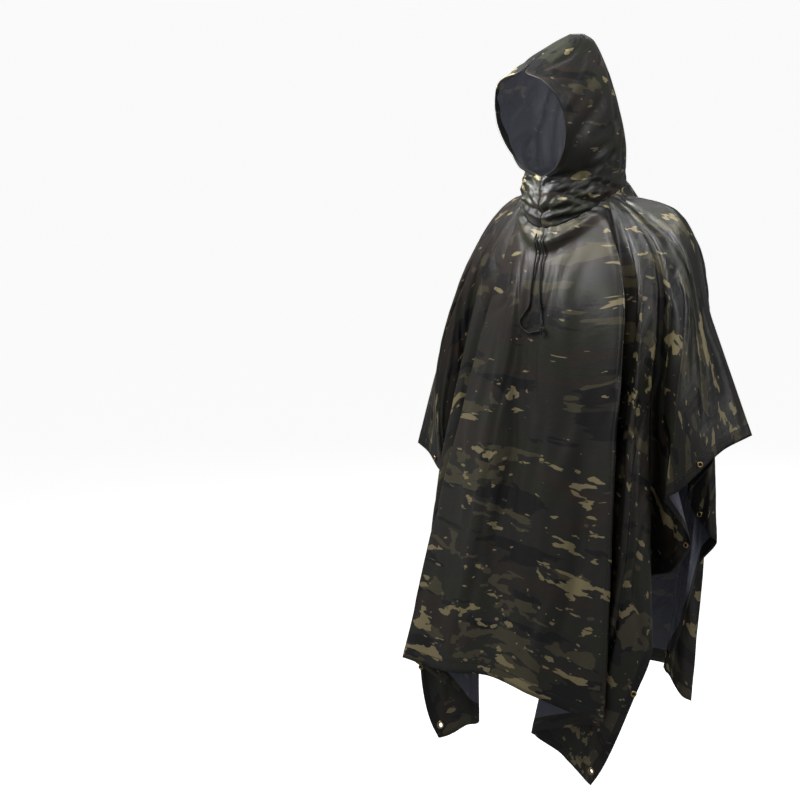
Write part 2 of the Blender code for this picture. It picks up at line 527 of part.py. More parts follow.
def cord(name, strand, tree, look):
    """A round cord lying down the chest, with closed ends."""
    curve = bpy.data.curves.new(name, "CURVE")
    curve.dimensions = "3D"
    curve.bevel_depth = CORD_RADIUS
    curve.bevel_resolution = 2
    curve.use_fill_caps = True
    knots = np.array(strand) * CM
    steps = np.linalg.norm(np.diff(knots, axis=0), axis=1)
    along = np.concatenate([[0.0], np.cumsum(steps)])
    tangents = np.gradient(knots, along, axis=0)
    route = []
    for index, step in enumerate(steps):
        for t in np.linspace(0, 1, CORD_STEPS, endpoint=False):
            route.append(
                knots[index] * (1 + 2 * t) * (1 - t) ** 2
                + tangents[index] * step * t * (1 - t) ** 2
                + knots[index + 1] * t * t * (3 - 2 * t)
                + tangents[index + 1] * step * t * t * (t - 1)
            )
    route.append(knots[-1])
    spline = curve.splines.new("POLY")
    spline.points.add(len(route) - 1)
    for point, (x, z, stand) in zip(spline.points, route):
        point.co = (*rested(tree, x, z, max(stand, CORD_CLEAR) + CORD_RADIUS), 1.0)
    curve.materials.append(look)
    made = bpy.data.objects.new(name, curve)
    bpy.context.scene.collection.objects.link(made)
    return made


def snap(name, cut, tree, look):
    """A ring snap on the hem: a low button with a round well, its back just clear of the cloth."""
    profile = [
        (0.0, 0.0),
        (SNAP_RADIUS, 0.0),
        (SNAP_RADIUS, 0.5 * SNAP_HEIGHT),
        (0.75 * SNAP_RADIUS, SNAP_HEIGHT),
        (SNAP_WELL_RADIUS, SNAP_HEIGHT),
        (SNAP_WELL_RADIUS, SNAP_HEIGHT - SNAP_WELL_DEPTH),
        (0.0, SNAP_HEIGHT - SNAP_WELL_DEPTH),
    ]
    made = add_mesh(name, *turned(profile, 10), look)
    place, above, _ = seat(tree, cut, SNAP_INSET, SNAP_RADIUS)
    made.matrix_world = place @ Matrix.Translation((0.0, 0.0, above + HARDWARE_GAP))
    return made


def eyelet(name, cut, host, tree, look):
    """A rolled eyelet through a corner of the cloth, in a hole that it clears all round."""
    place, above, below = seat(tree, cut, EYELET_INSET, EYELET_RADIUS)
    top, bottom = above + HARDWARE_GAP + EYELET_SHEET, below - HARDWARE_GAP - EYELET_SHEET
    barrel = EYELET_HOLE_RADIUS + EYELET_SHEET
    profile = [
        (EYELET_HOLE_RADIUS, bottom),
        (EYELET_RADIUS, bottom),
        (EYELET_RADIUS, bottom + EYELET_SHEET),
        (barrel, bottom + EYELET_SHEET),
        (barrel, top - EYELET_SHEET),
        (EYELET_RADIUS, top - EYELET_SHEET),
        (EYELET_RADIUS, top),
        (EYELET_HOLE_RADIUS, top),
    ]
    made = add_mesh(name, *turned(profile, 12), look)
    made.matrix_world = place
    drill = [(0.0, -DRILL_REACH), (barrel + HARDWARE_GAP, -DRILL_REACH), (barrel + HARDWARE_GAP, DRILL_REACH)]
    cutter = add_mesh(name + "_drill", *turned([*drill, (0.0, DRILL_REACH)], 12), look)
    cutter.matrix_world = place
    cutter.hide_render = True
    cutter.display_type = "WIRE"
    hole = host.modifiers.new(name + "_hole", "BOOLEAN")
    hole.object = cutter
    hole.operation = "DIFFERENCE"
    hole.solver = "EXACT"
    return made


def knot(tree, look):
    """The knot that ties the two strands together: a small rounded lump."""
    profile = [(0.0, -1.0), (0.7, -0.72), (1.0, 0.0), (0.7, 0.72), (0.0, 1.0)]
    made = add_mesh("cord_knot", *turned([(r * KNOT_RADIUS, z * KNOT_RADIUS) for r, z in profile], 10), look)
    made.location = rested(tree, KNOT_AT[0] * CM, KNOT_AT[1] * CM, KNOT_RADIUS + KNOT_STAND)
    return made


def main():
    for left_over in list(bpy.data.objects):
        bpy.data.objects.remove(left_over, do_unlink=True)
    looks = {
        name: material(name + "_cloth", CLOTH_COLOUR, 0.42)
        for name in ("body_front", "body_back", "hood_left", "hood_right")
    }
    front = body_piece("body_front", -TIP_CUT, TIP_CUT, FRONT_COLUMNS, -SEAM_GAP / 2, looks["body_front"])
    back = body_piece("body_back", TIP_CUT, EDGE_LENGTH - TIP_CUT, BACK_COLUMNS, SEAM_GAP / 2, looks["body_back"])
    hood_half("hood_left", 1, looks["hood_left"])
    hood_half("hood_right", -1, looks["hood_right"])
    trees = {"front": wall_tree(front), "back": wall_tree(back)}
    for place, cuts in SNAP_CUTS.items():
        for number, cut in enumerate(cuts, start=1):
            name = f"snap_{place}_{number}"
            snap(name, cut * CM, trees[place.split("_")[0]], material(name + "_brass", BRASS_COLOUR, 0.35, 1.0))
    for place, cut in EYELET_CUTS.items():
        name, half = f"eyelet_{place}", place.split("_")[0]
        host = front if half == "front" else back
        eyelet(name, cut * CM, host, trees[half], material(name + "_brass", BRASS_COLOUR, 0.35, 1.0))
    cord("cord_left", CORD_LEFT, trees["front"], material("cord_left_braid", CORD_COLOUR, 0.8))
    cord("cord_right", CORD_RIGHT, trees["front"], material("cord_right_braid", CORD_COLOUR, 0.8))
    knot(trees["front"], material("cord_knot_braid", CORD_COLOUR, 0.8))


main()
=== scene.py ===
"""A hooded rain poncho, dressed for rendering: coated, printed cloth hanging as it is worn, with no wearer."""

import math
from collections import namedtuple

import bpy
import numpy as np
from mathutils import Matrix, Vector
from mathutils.bvhtree import BVHTree


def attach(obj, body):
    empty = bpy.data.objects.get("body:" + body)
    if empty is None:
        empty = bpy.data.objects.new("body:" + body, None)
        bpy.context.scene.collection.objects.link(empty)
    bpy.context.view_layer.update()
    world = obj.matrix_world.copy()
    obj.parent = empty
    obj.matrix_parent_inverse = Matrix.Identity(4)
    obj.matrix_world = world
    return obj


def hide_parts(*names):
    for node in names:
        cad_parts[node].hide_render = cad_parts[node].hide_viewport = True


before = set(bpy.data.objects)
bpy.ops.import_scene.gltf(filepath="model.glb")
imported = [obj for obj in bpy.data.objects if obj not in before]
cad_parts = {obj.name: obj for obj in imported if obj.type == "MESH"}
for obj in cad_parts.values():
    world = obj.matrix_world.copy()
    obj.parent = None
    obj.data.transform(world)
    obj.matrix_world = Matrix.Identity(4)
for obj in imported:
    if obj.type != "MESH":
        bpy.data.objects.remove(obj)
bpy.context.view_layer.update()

# ---- Camera ----
# A long lens, standing five metres off the wearer's left front and a little above the neck, which is the
# origin. The shift puts the poncho to the right of the frame.
def put(name, data):
    """Adds an object that shows this data to the scene, at the origin."""
    made = bpy.data.objects.new(name, data)
    bpy.context.scene.collection.objects.link(made)
    return made


CAMERA_AZIMUTH = math.radians(35.5)
CAMERA_ELEVATION = math.radians(5.0)
CAMERA_DISTANCE = 5.0
lens = bpy.data.cameras.new("camera")
lens.sensor_width = 36.0
lens.lens = 111.6
lens.shift_x, lens.shift_y = -0.2256, -0.272
lens.clip_end = 200.0
camera = put("camera", lens)
camera.location = (
    CAMERA_DISTANCE * math.cos(CAMERA_ELEVATION) * math.sin(CAMERA_AZIMUTH),
    -CAMERA_DISTANCE * math.cos(CAMERA_ELEVATION) * math.cos(CAMERA_AZIMUTH),
    CAMERA_DISTANCE * math.sin(CAMERA_ELEVATION),
)
camera.rotation_euler = (math.pi / 2 - CAMERA_ELEVATION, 0.0, CAMERA_AZIMUTH)
bpy.context.scene.camera = camera


# ---- Floor and light ----
# A pale studio floor, where the wearer's feet would stand, and soft panels of light: a large one high at the
# wearer's right, two narrow ones for the hood, one at the left side, and one behind that edges the shoulders.
def linear(hex_colour):
    """An sRGB hex colour as a linear one: each channel c gives ((c + 0.055) / 1.055) ** 2.4."""
    channels = [int(hex_colour[i : i + 2], 16) / 255 for i in (1, 3, 5)]
    return (*[c / 12.92 if c <= 0.04045 else ((c + 0.055) / 1.055) ** 2.4 for c in channels], 1.0)


def feed(node, links):
    """Fills a node's inputs, each from a value, an output, or a node whose first output feeds it."""
    for socket, source in links.items():
        if isinstance(source, bpy.types.Node):
            source = source.outputs[0]
        if isinstance(source, bpy.types.NodeSocket):
            node.id_data.links.new(source, node.inputs[socket])
        else:
            node.inputs[socket].default_value = source


def lay(tree, kind, links=None, **settings):
    """Adds one shader node with its options and what feeds its inputs."""
    made = tree.nodes.new("ShaderNode" + kind)
    for option, value in settings.items():
        setattr(made, option, value)
    feed(made, links or {})
    return made


def new_material(name):
    """A new material, its node tree and its main shader."""
    made = bpy.data.materials.new(name)
    made.use_nodes = True
    return made, made.node_tree, made.node_tree.nodes["Principled BSDF"]


FLOOR_Z, FLOOR_REACH = -1.46, 90.0
floor_corners = [(x * FLOOR_REACH, y * FLOOR_REACH, FLOOR_Z) for x, y in ((-1, -1), (1, -1), (1, 1), (-1, 1))]
floor_mesh = bpy.data.meshes.new("studio_floor")
floor_mesh.from_pydata(floor_corners, [], [(0, 1, 2, 3)])
floor = put("studio_floor", floor_mesh)
# Matt white paint, lit a little from within, so that the floor ends in the white of the walls
floor_paint, _, floor_shader = new_material("matt_white_floor_paint")
feed(floor_shader, {"Base Color": linear("#f2f2f1"), "Roughness": 0.9})
feed(floor_shader, {"Emission Color": linear("#fafafa"), "Emission Strength": 0.8})
floor_mesh.materials.append(floor_paint)
floor.visible_diffuse, floor.visible_glossy = False, False

sky = bpy.data.worlds.new("studio_white")
sky.use_nodes = True
# The white walls are far off: seen straight they are white, and what reaches the cloth from them is weak
seen = lay(sky.node_tree, "LightPath").outputs["Is Camera Ray"]
wall_light = lay(sky.node_tree, "MapRange", {"Value": seen, "To Min": 0.22, "To Max": 1.0})
feed(sky.node_tree.nodes["Background"], {"Color": linear("#fafafa"), "Strength": wall_light})
bpy.context.scene.world = sky
bpy.context.scene.view_settings.view_transform = "Standard"

# watts, metres, and how far the light spreads, in degrees
Panel = namedtuple("Panel", "name watts width height spread place aim")
PANELS = [
    Panel("key_panel", 19.0, 1.5, 0.9, 100, (-1.8, -1.3, 1.9), (0.0, -0.1, 0.0)),
    Panel("hood_panel", 3.0, 0.25, 0.25, 22, (-1.05, -1.75, 0.7), (0.02, -0.02, 0.20)),
    Panel("crown_panel", 3.2, 0.5, 0.4, 70, (0.35, -0.7, 1.5), (0.02, -0.06, 0.24)),
    Panel("side_panel", 16.0, 0.6, 1.6, 180, (2.6, -0.1, 0.9), (0.1, 0.0, -0.3)),
    Panel("rim_panel", 22.0, 0.8, 2.0, 180, (-1.6, 2.6, 1.4), (0.0, 0.0, -0.4)),
]
for panel in PANELS:
    light = bpy.data.lights.new(panel.name, "AREA")
    light.shape = "RECTANGLE"
    light.size, light.size_y, light.energy = panel.width, panel.height, panel.watts
    light.spread = math.radians(panel.spread)
    lamp = put(panel.name, light)
    lamp.location = panel.place
    lamp.rotation_euler = (Vector(panel.aim) - Vector(panel.place)).to_track_quat("-Z", "Y").to_euler()

# ---- Body cloth ----
# One rectangle of printed ripstop nylon, coated on the inside, with a hole for the neck. It hangs from the
# shoulders, so every fold runs from the neck seam to an edge. Modelled as a front and a back half.
CM, MM = 0.01, 0.001
HALF_WIDTH, HALF_LENGTH = 71.5 * CM, 109.0 * CM
TIP_CUT = HALF_WIDTH + HALF_LENGTH
EDGE_LENGTH = 4 * TIP_CUT
SEAM_GAP = 0.3 * MM
CLOTH_THICK, HEM_THICK = 0.9 * MM, 1.7 * MM
HEM_DEPTH = 25.0 * MM
NECK_HALF_WIDTH, NECK_FRONT, NECK_BACK = 9.8 * CM, -13.0 * CM, 9.8 * CM
NECK_DROP, NECK_DROP_SHAPE = 8.0 * CM, 2.5
NECK_LEAVE, NECK_LEAN = 0.3, math.radians(48)
NECK_SPREAD, NECK_SPREAD_SHARE = 25.0 * CM, 0.85
FOLD_SOFTNESS = 0.65 * CM
TABLE_STEP = 0.25 * CM
TURN_WIDTH, TURN_REACH = 0.8 * CM, 5.0 * CM
BACK_CORNER_CUT = HALF_WIDTH + 2 * HALF_LENGTH
# The four corners and the two sleeve tips
CORNER_CUTS = [HALF_WIDTH, TIP_CUT, BACK_CORNER_CUT]
CORNER_CUTS += [EDGE_LENGTH - cut for cut in reversed(CORNER_CUTS)]
CORNER_REACH, CORNER_SPAN, CORNER_FALL = 0.55, 5.0 * CM, 1.4 * CM
# How much folds count against distance where the mesh is made finer
FINE_STEP, FINE_BEND, FINE_EVEN = 3.0 * CM, math.radians(40), 0.06

Fold = namedtuple("Fold", "name cut shoulder mid edge")
# Centimetres. cut: where a fold line meets the cloth's edge, round from the middle of the front hem.
# shoulder, mid, edge: x, y, z on the way down. The name says which fold of the real cloth it is.
FOLDS = [Fold(*row) for row in [
    ("front middle valley", 0, (-0.5, -15, -17), (-2, -19.4, -50), (-1.5, -28.9, -95)),
    ("front left ridge", 10, (4.5, -15.2, -16.5), (7, -22, -50), (9, -29.6, -96.8)),
    ("front left valley", 18, (9.5, -13.6, -15), (13.8, -19.6, -50), (16, -26.6, -99.6)),
    ("left pleat lip", 27, (16.2, -11, -13), (22.2, -20.2, -50), (23.2, -25, -101.2)),
    ("left pleat return", 36, (15.8, -9.4, -12.4), (18.4, -17.2, -50), (14.5, -24, -103.6)),
    ("left pleat root", 45, (14.8, -8.2, -12), (14.4, -14.8, -50), (5.4, -24, -106.6)),
    ("left corner hollow", 54, (16.8, -7.2, -11.7), (20, -15.2, -50), (10.3, -21.6, -110)),
    ("left corner flat", 62.5, (17.6, -7.6, -11.8), (22.4, -17, -50), (15, -21.8, -113)),
    ("left front corner", 71.5, (18.1, -7.6, -11.8), (24.2, -18.3, -50), (18.5, -22.3, -114.2)),
    ("left low snap", 90.5, (18.9, -7.3, -11.4), (25, -16, -48), (26.4, -19.2, -97)),
    ("left low edge", 101, (19.6, -6.3, -11), (25.2, -13.2, -46), (28.2, -15.8, -88)),
    ("left third snap", 111, (20.2, -5.6, -10.7), (24.8, -11.6, -45), (24.8, -12.2, -79.5)),
    ("left deep valley", 119, (20.6, -4.9, -10.5), (23, -8.2, -44), (20, -6.4, -77.3)),
    ("left inner ridge", 127, (21.6, -5, -10.4), (25.9, -9, -46), (28.5, -9.4, -74)),
    ("left second snap", 134.5, (22.4, -4.7, -10.3), (27.8, -9.8, -48), (33.2, -10, -67)),
    ("left notch", 144, (23.7, -3.5, -10.6), (31, -13, -44), (29.1, -13.2, -59.2)),
    ("left sleeve hollow", 150, (24.1, -2.9, -10), (32.6, -10.8, -39), (32.2, -12.6, -57)),
    ("left first snap", 157.5, (24, -2.3, -8.4), (32.6, -8, -33.5), (35.2, -10.6, -53.6)),
    ("left sleeve front", 169, (23.4, -1.1, -6.4), (32.4, -4, -28), (37.6, -5.4, -49.6)),
    ("left sleeve tip", 180.5, (22.4, 0.2, -4.1), (31.4, 0.3, -25.4), (39.6, 0.2, -47.6)),
    ("left sleeve back", 190, (22, 1.8, -4.6), (30, 1.8, -27.5), (33.2, 0.8, -49.6)),
    ("left back tuck", 200, (21.8, 2.9, -5.4), (28.2, 2.4, -32), (31, 1.2, -54)),
    ("left back strip", 212, (21.2, 3.8, -6.2), (25.2, 2.8, -36), (25.3, 1.2, -62)),
    ("left back turn", 226, (21.4, 4.9, -7), (27.6, 4.6, -38), (30.2, 3.2, -69.6)),
    ("left back snap", 241, (20.8, 6.2, -7.8), (26, 6.4, -40), (26.4, 3.6, -75.6)),
    ("left back edge", 258, (20, 6.9, -8.2), (25.2, 6.3, -43), (26, -0.8, -84.6)),
    ("left back flap", 274.5, (19.4, 7.1, -8.4), (24.2, 6.5, -48), (23.6, 0, -90.6)),
    ("left back corner", 289.5, (18.7, 7.7, -8.6), (22.6, 7.3, -52), (20.6, 0.6, -96.4)),
    ("left back hollow", 295, (18.2, 8.2, -8.8), (22.6, 8.2, -56), (20.4, 2.2, -99)),
    ("left back fold", 301, (17.6, 8.7, -9.2), (23.4, 9.8, -60), (23.4, 3.8, -103.4)),
    ("left back side", 312, (16, 9.4, -9.6), (20.8, 11.2, -52), (21, 6.9, -102.4)),
    ("left back pleat hollow", 324, (13.6, 9.4, -10.2), (17, 11.2, -50), (13.2, 12.6, -100)),
    ("left back pleat root", 333, (10.8, 9.8, -10.6), (10.4, 11.2, -50), (4.8, 14, -100)),
    ("left back pleat lip", 342, (12, 11.4, -11.2), (14, 14.6, -50), (13.2, 18.6, -100)),
    ("back left swell", 351, (6.4, 12.4, -11.8), (7.4, 16.6, -50), (7.6, 21.8, -99.4)),
    ("back middle valley", 361, (1, 12.2, -12), (0.6, 15.4, -50), (0.6, 21.4, -97.4)),
    ("back right ridge", 371, (-4.6, 12.6, -11.8), (-6.4, 17, -50), (-6.4, 22.8, -96.4)),
    ("back right valley", 381, (-9.6, 11.4, -11.2), (-12.6, 14.2, -50), (-14.6, 20.4, -97.2)),
    ("right back pleat lip", 394, (-16.6, 9.6, -10.6), (-23.6, 13, -50), (-30.4, 15.8, -98.4)),
    ("right back pleat return", 403, (-15.8, 8.4, -10.2), (-19.8, 10.4, -50), (-21, 15.2, -101)),
    ("right back pleat root", 411, (-14.8, 7.6, -9.9), (-15, 8.8, -50), (-12.2, 16, -104)),
    ("right back hollow", 422, (-17.4, 6.8, -9.6), (-20.4, 7.2, -49), (-18.6, 12.4, -106)),
    ("right back corner", 432.5, (-18.8, 6.6, -9.4), (-24.6, 8, -47), (-24.4, 9.6, -107.6)),
    ("right back low snap", 451.5, (-19.8, 6, -9.1), (-27, 8.2, -45), (-27.4, 6, -91)),
    ("right back valley", 469, (-20.6, 5, -8.8), (-26.6, 5, -42), (-26, 1.2, -79.6)),
    ("right back ridge", 484, (-21.6, 4.4, -8.3), (-29.8, 5.6, -39), (-31, 4.8, -74)),
    ("right back notch", 499, (-22, 4.2, -8), (-30.4, 2.6, -36), (-32.6, 0.8, -66.4)),
    ("right sleeve back", 520, (-21.8, 3.4, -7), (-31.4, 2.4, -32), (-35.8, -0.4, -60)),
    ("right sleeve tip", 541.5, (-21.4, 2.2, -6.4), (-32.2, -0.8, -30), (-38.8, -4.2, -57)),
    ("right sleeve front", 553, (-21.6, 0.6, -7.8), (-31.9, -4, -33), (-35, -5.8, -58.2)),
    ("right first snap", 564.5, (-21.2, -0.8, -9), (-31.8, -6.4, -38), (-31, -8.2, -60.2)),
    ("right notch", 578, (-20.4, -1.9, -9.4), (-30.4, -8.2, -43), (-27.2, -10.4, -62)),
    ("right second snap", 587.5, (-19.6, -2.6, -9.6), (-28.8, -8, -47), (-26.6, -8.8, -67.5)),
    ("right inner ridge", 595, (-18.8, -3.1, -9.8), (-27.4, -6.8, -46), (-25.4, -7.4, -73)),
    ("right deep valley", 603, (-18, -3.4, -9.9), (-25.4, -4.8, -45), (-20, -5.6, -77)),
    ("right third snap", 611, (-17.2, -3.8, -10.1), (-24.4, -7, -46), (-22, -11.6, -80)),
    ("right low edge", 621, (-16.4, -4.3, -10.3), (-25.4, -8.6, -47), (-26.4, -17, -88)),
    ("right low snap", 631.5, (-15.9, -4.3, -10.6), (-25.2, -10.9, -49), (-24.2, -22, -97.5)),
    ("right front corner", 650.5, (-14.8, -4.6, -11), (-23, -12.4, -51), (-18.8, -22.8, -111.7)),
    ("right corner hollow", 663, (-13.4, -5, -11.4), (-19.6, -10.8, -52), (-13, -21.6, -108.9)),
    ("right pleat root", 676, (-12, -5.8, -11.8), (-14.8, -12, -52), (-9.6, -23, -106.2)),
    ("right pleat return", 685, (-12.4, -6.6, -12.2), (-18.4, -12.4, -52), (-15.6, -25.6, -99.6)),
    ("right pleat lip", 694, (-12.4, -7.8, -12.8), (-21.6, -13.4, -52), (-23.6, -27.8, -95.2)),
    ("front right valley", 703, (-8.4, -12.4, -15.2), (-12.8, -18.2, -50), (-16.8, -28.6, -95.8)),
    ("front right ridge", 712.5, (-4.6, -14.8, -16.4), (-6.6, -21.4, -50), (-9, -30.2, -95.4)),
]]
Turn = namedtuple("Turn", "cut towards shoulder mid edge")
# Where the cloth turns back on itself: the way that the layer after the turn lies, and the gap in centimetres.
TURNS = [Turn(*row) for row in [
    (27, 105, 0.4, 1.2, 1.7),
    (45, 95, 0.7, 1.2, 1.7),
    (119, 30, 0.2, 1.2, 1.6),
    (134.5, -80, 0, 0.5, 1.5),
    (144, -75, 0, 0.5, 1.5),
    (212, 95, 0.4, 1.2, 1.7),
    (226, 75, 0.3, 1, 1.7),
    (293, 95, 0.1, 0.8, 1.2),
    (301, 90, 0.3, 1.2, 1.6),
    (333, 100, 0.3, 1.2, 1.8),
    (342, 85, 0.4, 1.2, 1.8),
    (394, -70, 0.7, 1.2, 1.7),
    (411, -100, 0.6, 1.2, 1.7),
    (469, -165, 0.4, 1, 1.5),
    (603, -30, 0.2, 1, 1.5),
    (676, -85, 0.2, 1.1, 1.7),
    (694, -105, 0.2, 1.2, 1.7),
]]


def cubic(start, end, leave, arrive, t):
    """The cubic from start to end that leaves and arrives with these slopes; t runs from 0 to 1."""
    ends = start * (1 + 2 * t) * (1 - t) ** 2 + end * t * t * (3 - 2 * t)
    return ends + leave * t * (1 - t) ** 2 + arrive * t * t * (t - 1)


def periodic_samples(knots, values, period, at):
    """A smooth closed curve through values at uneven knots: cubic between two, its slope at each knot the mean of
    the slopes on both sides, the shorter side counting more."""
    wrapped = np.concatenate([knots[-2:] - period, knots, knots[:2] + period])
    points = np.concatenate([values[-2:], values, values[:2]])
    steps = np.diff(wrapped)[:, None]
    slopes = np.diff(points, axis=0) / steps
    tangents = (slopes[:-1] * steps[1:] + slopes[1:] * steps[:-1]) / (steps[:-1] + steps[1:])
    index = np.clip(np.searchsorted(wrapped, at, side="right") - 1, 1, len(wrapped) - 3)
    step = steps[index]
    t = (at - wrapped[index])[:, None] / step
    leave, arrive = tangents[index - 1] * step, tangents[index] * step
    return cubic(points[index], points[index + 1], leave, arrive, t)


def bell(away, wide):
    """exp(-q), with q the square of away / wide."""
    return np.exp(-((away / wide) ** 2))


def ramp(rise):
    """A rise held between 0 and 1."""
    return np.clip(rise, 0, 1)


def past(cuts, cut):
    """How far round the edge each of cuts lies past this one, from minus to plus half the way round."""
    return np.mod(cuts - cut + EDGE_LENGTH / 2, EDGE_LENGTH) - EDGE_LENGTH / 2


def fold_controls(cuts):
    """Shoulder, mid and edge point for each cut: the fold table's curve, opened at each turn by a tanh step, then
    blurred by a bell."""
    knots = np.array([fold.cut for fold in FOLDS]) * CM
    values = np.array([fold.shoulder + fold.mid + fold.edge for fold in FOLDS]) * CM
    dense = np.arange(0.0, EDGE_LENGTH, TABLE_STEP)
    ring = periodic_samples(knots, values, EDGE_LENGTH, dense)
    for turn in TURNS:
        away = past(dense, turn.cut * CM)
        held = 0.5 * np.tanh(away / TURN_WIDTH) * bell(away, TURN_REACH)
        angle = math.radians(turn.towards)
        gaps = np.array([turn.shoulder, turn.mid, turn.edge]) * CM
        ring[:, 0::3] += held[:, None] * gaps * math.cos(angle)
        ring[:, 1::3] += held[:, None] * gaps * math.sin(angle)
    reach = int(4 * FOLD_SOFTNESS / TABLE_STEP)
    weights = np.exp(-0.5 * (np.arange(-reach, reach + 1) * TABLE_STEP / FOLD_SOFTNESS) ** 2)
    weights /= weights.sum()
    padded = np.concatenate([ring[-reach:], ring, ring[:reach]])
    ring = np.stack([np.convolve(column, weights, "valid") for column in padded.T], axis=1)
    around, closed = np.append(dense, EDGE_LENGTH), np.vstack([ring, ring[:1]])
    wrapped = np.mod(cuts, EDGE_LENGTH)
    for corner in CORNER_CUTS:
        # A corner is square, so its edge point stands out of the curve in a cusp
        away = past(dense, corner)
        before, here, after = (ring[np.argmin(np.abs(away - side * CORNER_SPAN)), 6:] for side in (-1, 0, 1))
        cusp = here - (before + after) / 2
        closed[:-1, 6:] += CORNER_REACH * cusp * np.exp(-np.abs(away) / CORNER_FALL)[:, None]
    return np.stack([np.interp(wrapped, around, column) for column in closed.T], axis=1).reshape(-1, 3, 3)


def cut_position(cuts):
    """x and y on the flat rectangle of the place this far round its edge from the middle of the front hem."""
    sides = np.cumsum([0.0, HALF_WIDTH, 2 * HALF_LENGTH, 2 * HALF_WIDTH, 2 * HALF_LENGTH, HALF_WIDTH])
    xs = np.array([0.0, 1.0, 1.0, -1.0, -1.0, 0.0]) * HALF_WIDTH
    ys = np.array([-1.0, -1.0, 1.0, 1.0, -1.0, -1.0]) * HALF_LENGTH
    wrapped = np.mod(cuts, EDGE_LENGTH)
    return np.interp(wrapped, sides, xs), np.interp(wrapped, sides, ys)


def neck_seam(turns):
    """The seam between hood and body: an ellipse, low in front. A turn of 0 is its front, pi/2 the left."""
    middle, reach = (NECK_FRONT + NECK_BACK) / 2, (NECK_BACK - NECK_FRONT) / 2
    drop = NECK_DROP * ((1 + np.cos(turns)) / 2) ** NECK_DROP_SHAPE
    return np.stack([NECK_HALF_WIDTH * np.sin(turns), middle - reach * np.cos(turns), -drop], axis=-1)


def neck_turns(cuts):
    """Where on the neck seam each string starts: a tanh gives the middle of the front and of the back most of the
    seam, so that the sides are gathered over the shoulders."""
    ahead = past(cuts, 0.0)
    front = np.abs(ahead) <= TIP_CUT
    away = np.where(front, np.abs(ahead), EDGE_LENGTH / 2 - np.abs(ahead))
    middle = np.tanh(away / NECK_SPREAD) / math.tanh(TIP_CUT / NECK_SPREAD)
    turns = math.pi / 2 * (NECK_SPREAD_SHARE * middle + (1 - NECK_SPREAD_SHARE) * away / TIP_CUT)
    return np.sign(ahead) * np.where(front, turns, math.pi - turns)


def drape(cuts, shares):
    """Middle of the cloth: for each cut a cubic string from the neck seam through its shoulder and mid points to
    its edge point."""
    turns = neck_turns(cuts)
    out = np.stack([np.sin(turns), -np.cos(turns), np.zeros_like(turns)], axis=1)
    controls = np.concatenate([neck_seam(turns)[:, None], fold_controls(cuts)], axis=1)
    chords = np.diff(controls, axis=1)
    lengths = np.linalg.norm(chords, axis=2, keepdims=True)
    slopes = chords / lengths
    bends = slopes[:, :-1] * lengths[:, 1:] + slopes[:, 1:] * lengths[:, :-1]
    bends = bends / (lengths[:, :-1] + lengths[:, 1:])
    first = NECK_LEAVE * (out * math.sin(NECK_LEAN) - np.array([0.0, 0.0, math.cos(NECK_LEAN)]))
    last = 1.5 * slopes[:, -1] - 0.5 * bends[:, -1]
    tangents = np.concatenate([first[:, None], bends, last[:, None]], axis=1)
    knots = np.concatenate([np.zeros((len(turns), 1)), np.cumsum(lengths[..., 0], axis=1)], axis=1)
    along = shares[:, None] * knots[None, :, -1]
    index = (along >= knots[None, :, 1]).astype(int) + (along >= knots[None, :, 2]).astype(int)
    column = np.arange(len(turns))[None, :]
    step = lengths[column, index]
    t = (along[..., None] - knots[column, index][..., None]) / step
    leave, arrive = tangents[column, index] * step, tangents[column, index + 1] * step
    return cubic(controls[column, index], controls[column, index + 1], leave, arrive, t)


def unit(vectors):
    """Vectors divided by their lengths."""
    return vectors / np.maximum(np.linalg.norm(vectors, axis=-1, keepdims=True), 1e-12)


def walked(points):
    """How far along the first axis of points each lies from the start: the sum of the steps before it."""
    steps = np.linalg.norm(np.diff(points, axis=0), axis=-1)
    return np.concatenate([np.zeros((1, *steps.shape[1:])), np.cumsum(steps, axis=0)])


def facing(grid):
    """Outward normals of a grid whose rows run down and whose columns run leftwards."""
    return unit(np.cross(np.gradient(grid, axis=0), np.gradient(grid, axis=1)))


def smoothed(grid, passes):
    """Each point moved half way to the mean of its four neighbours, passes times, with the borders held."""
    for _ in range(passes):
        inside = (grid[:-2, 1:-1] + grid[2:, 1:-1] + grid[1:-1, :-2] + grid[1:-1, 2:]) / 4
        grid = grid.copy()
        grid[1:-1, 1:-1] = 0.5 * grid[1:-1, 1:-1] + 0.5 * inside
    return grid


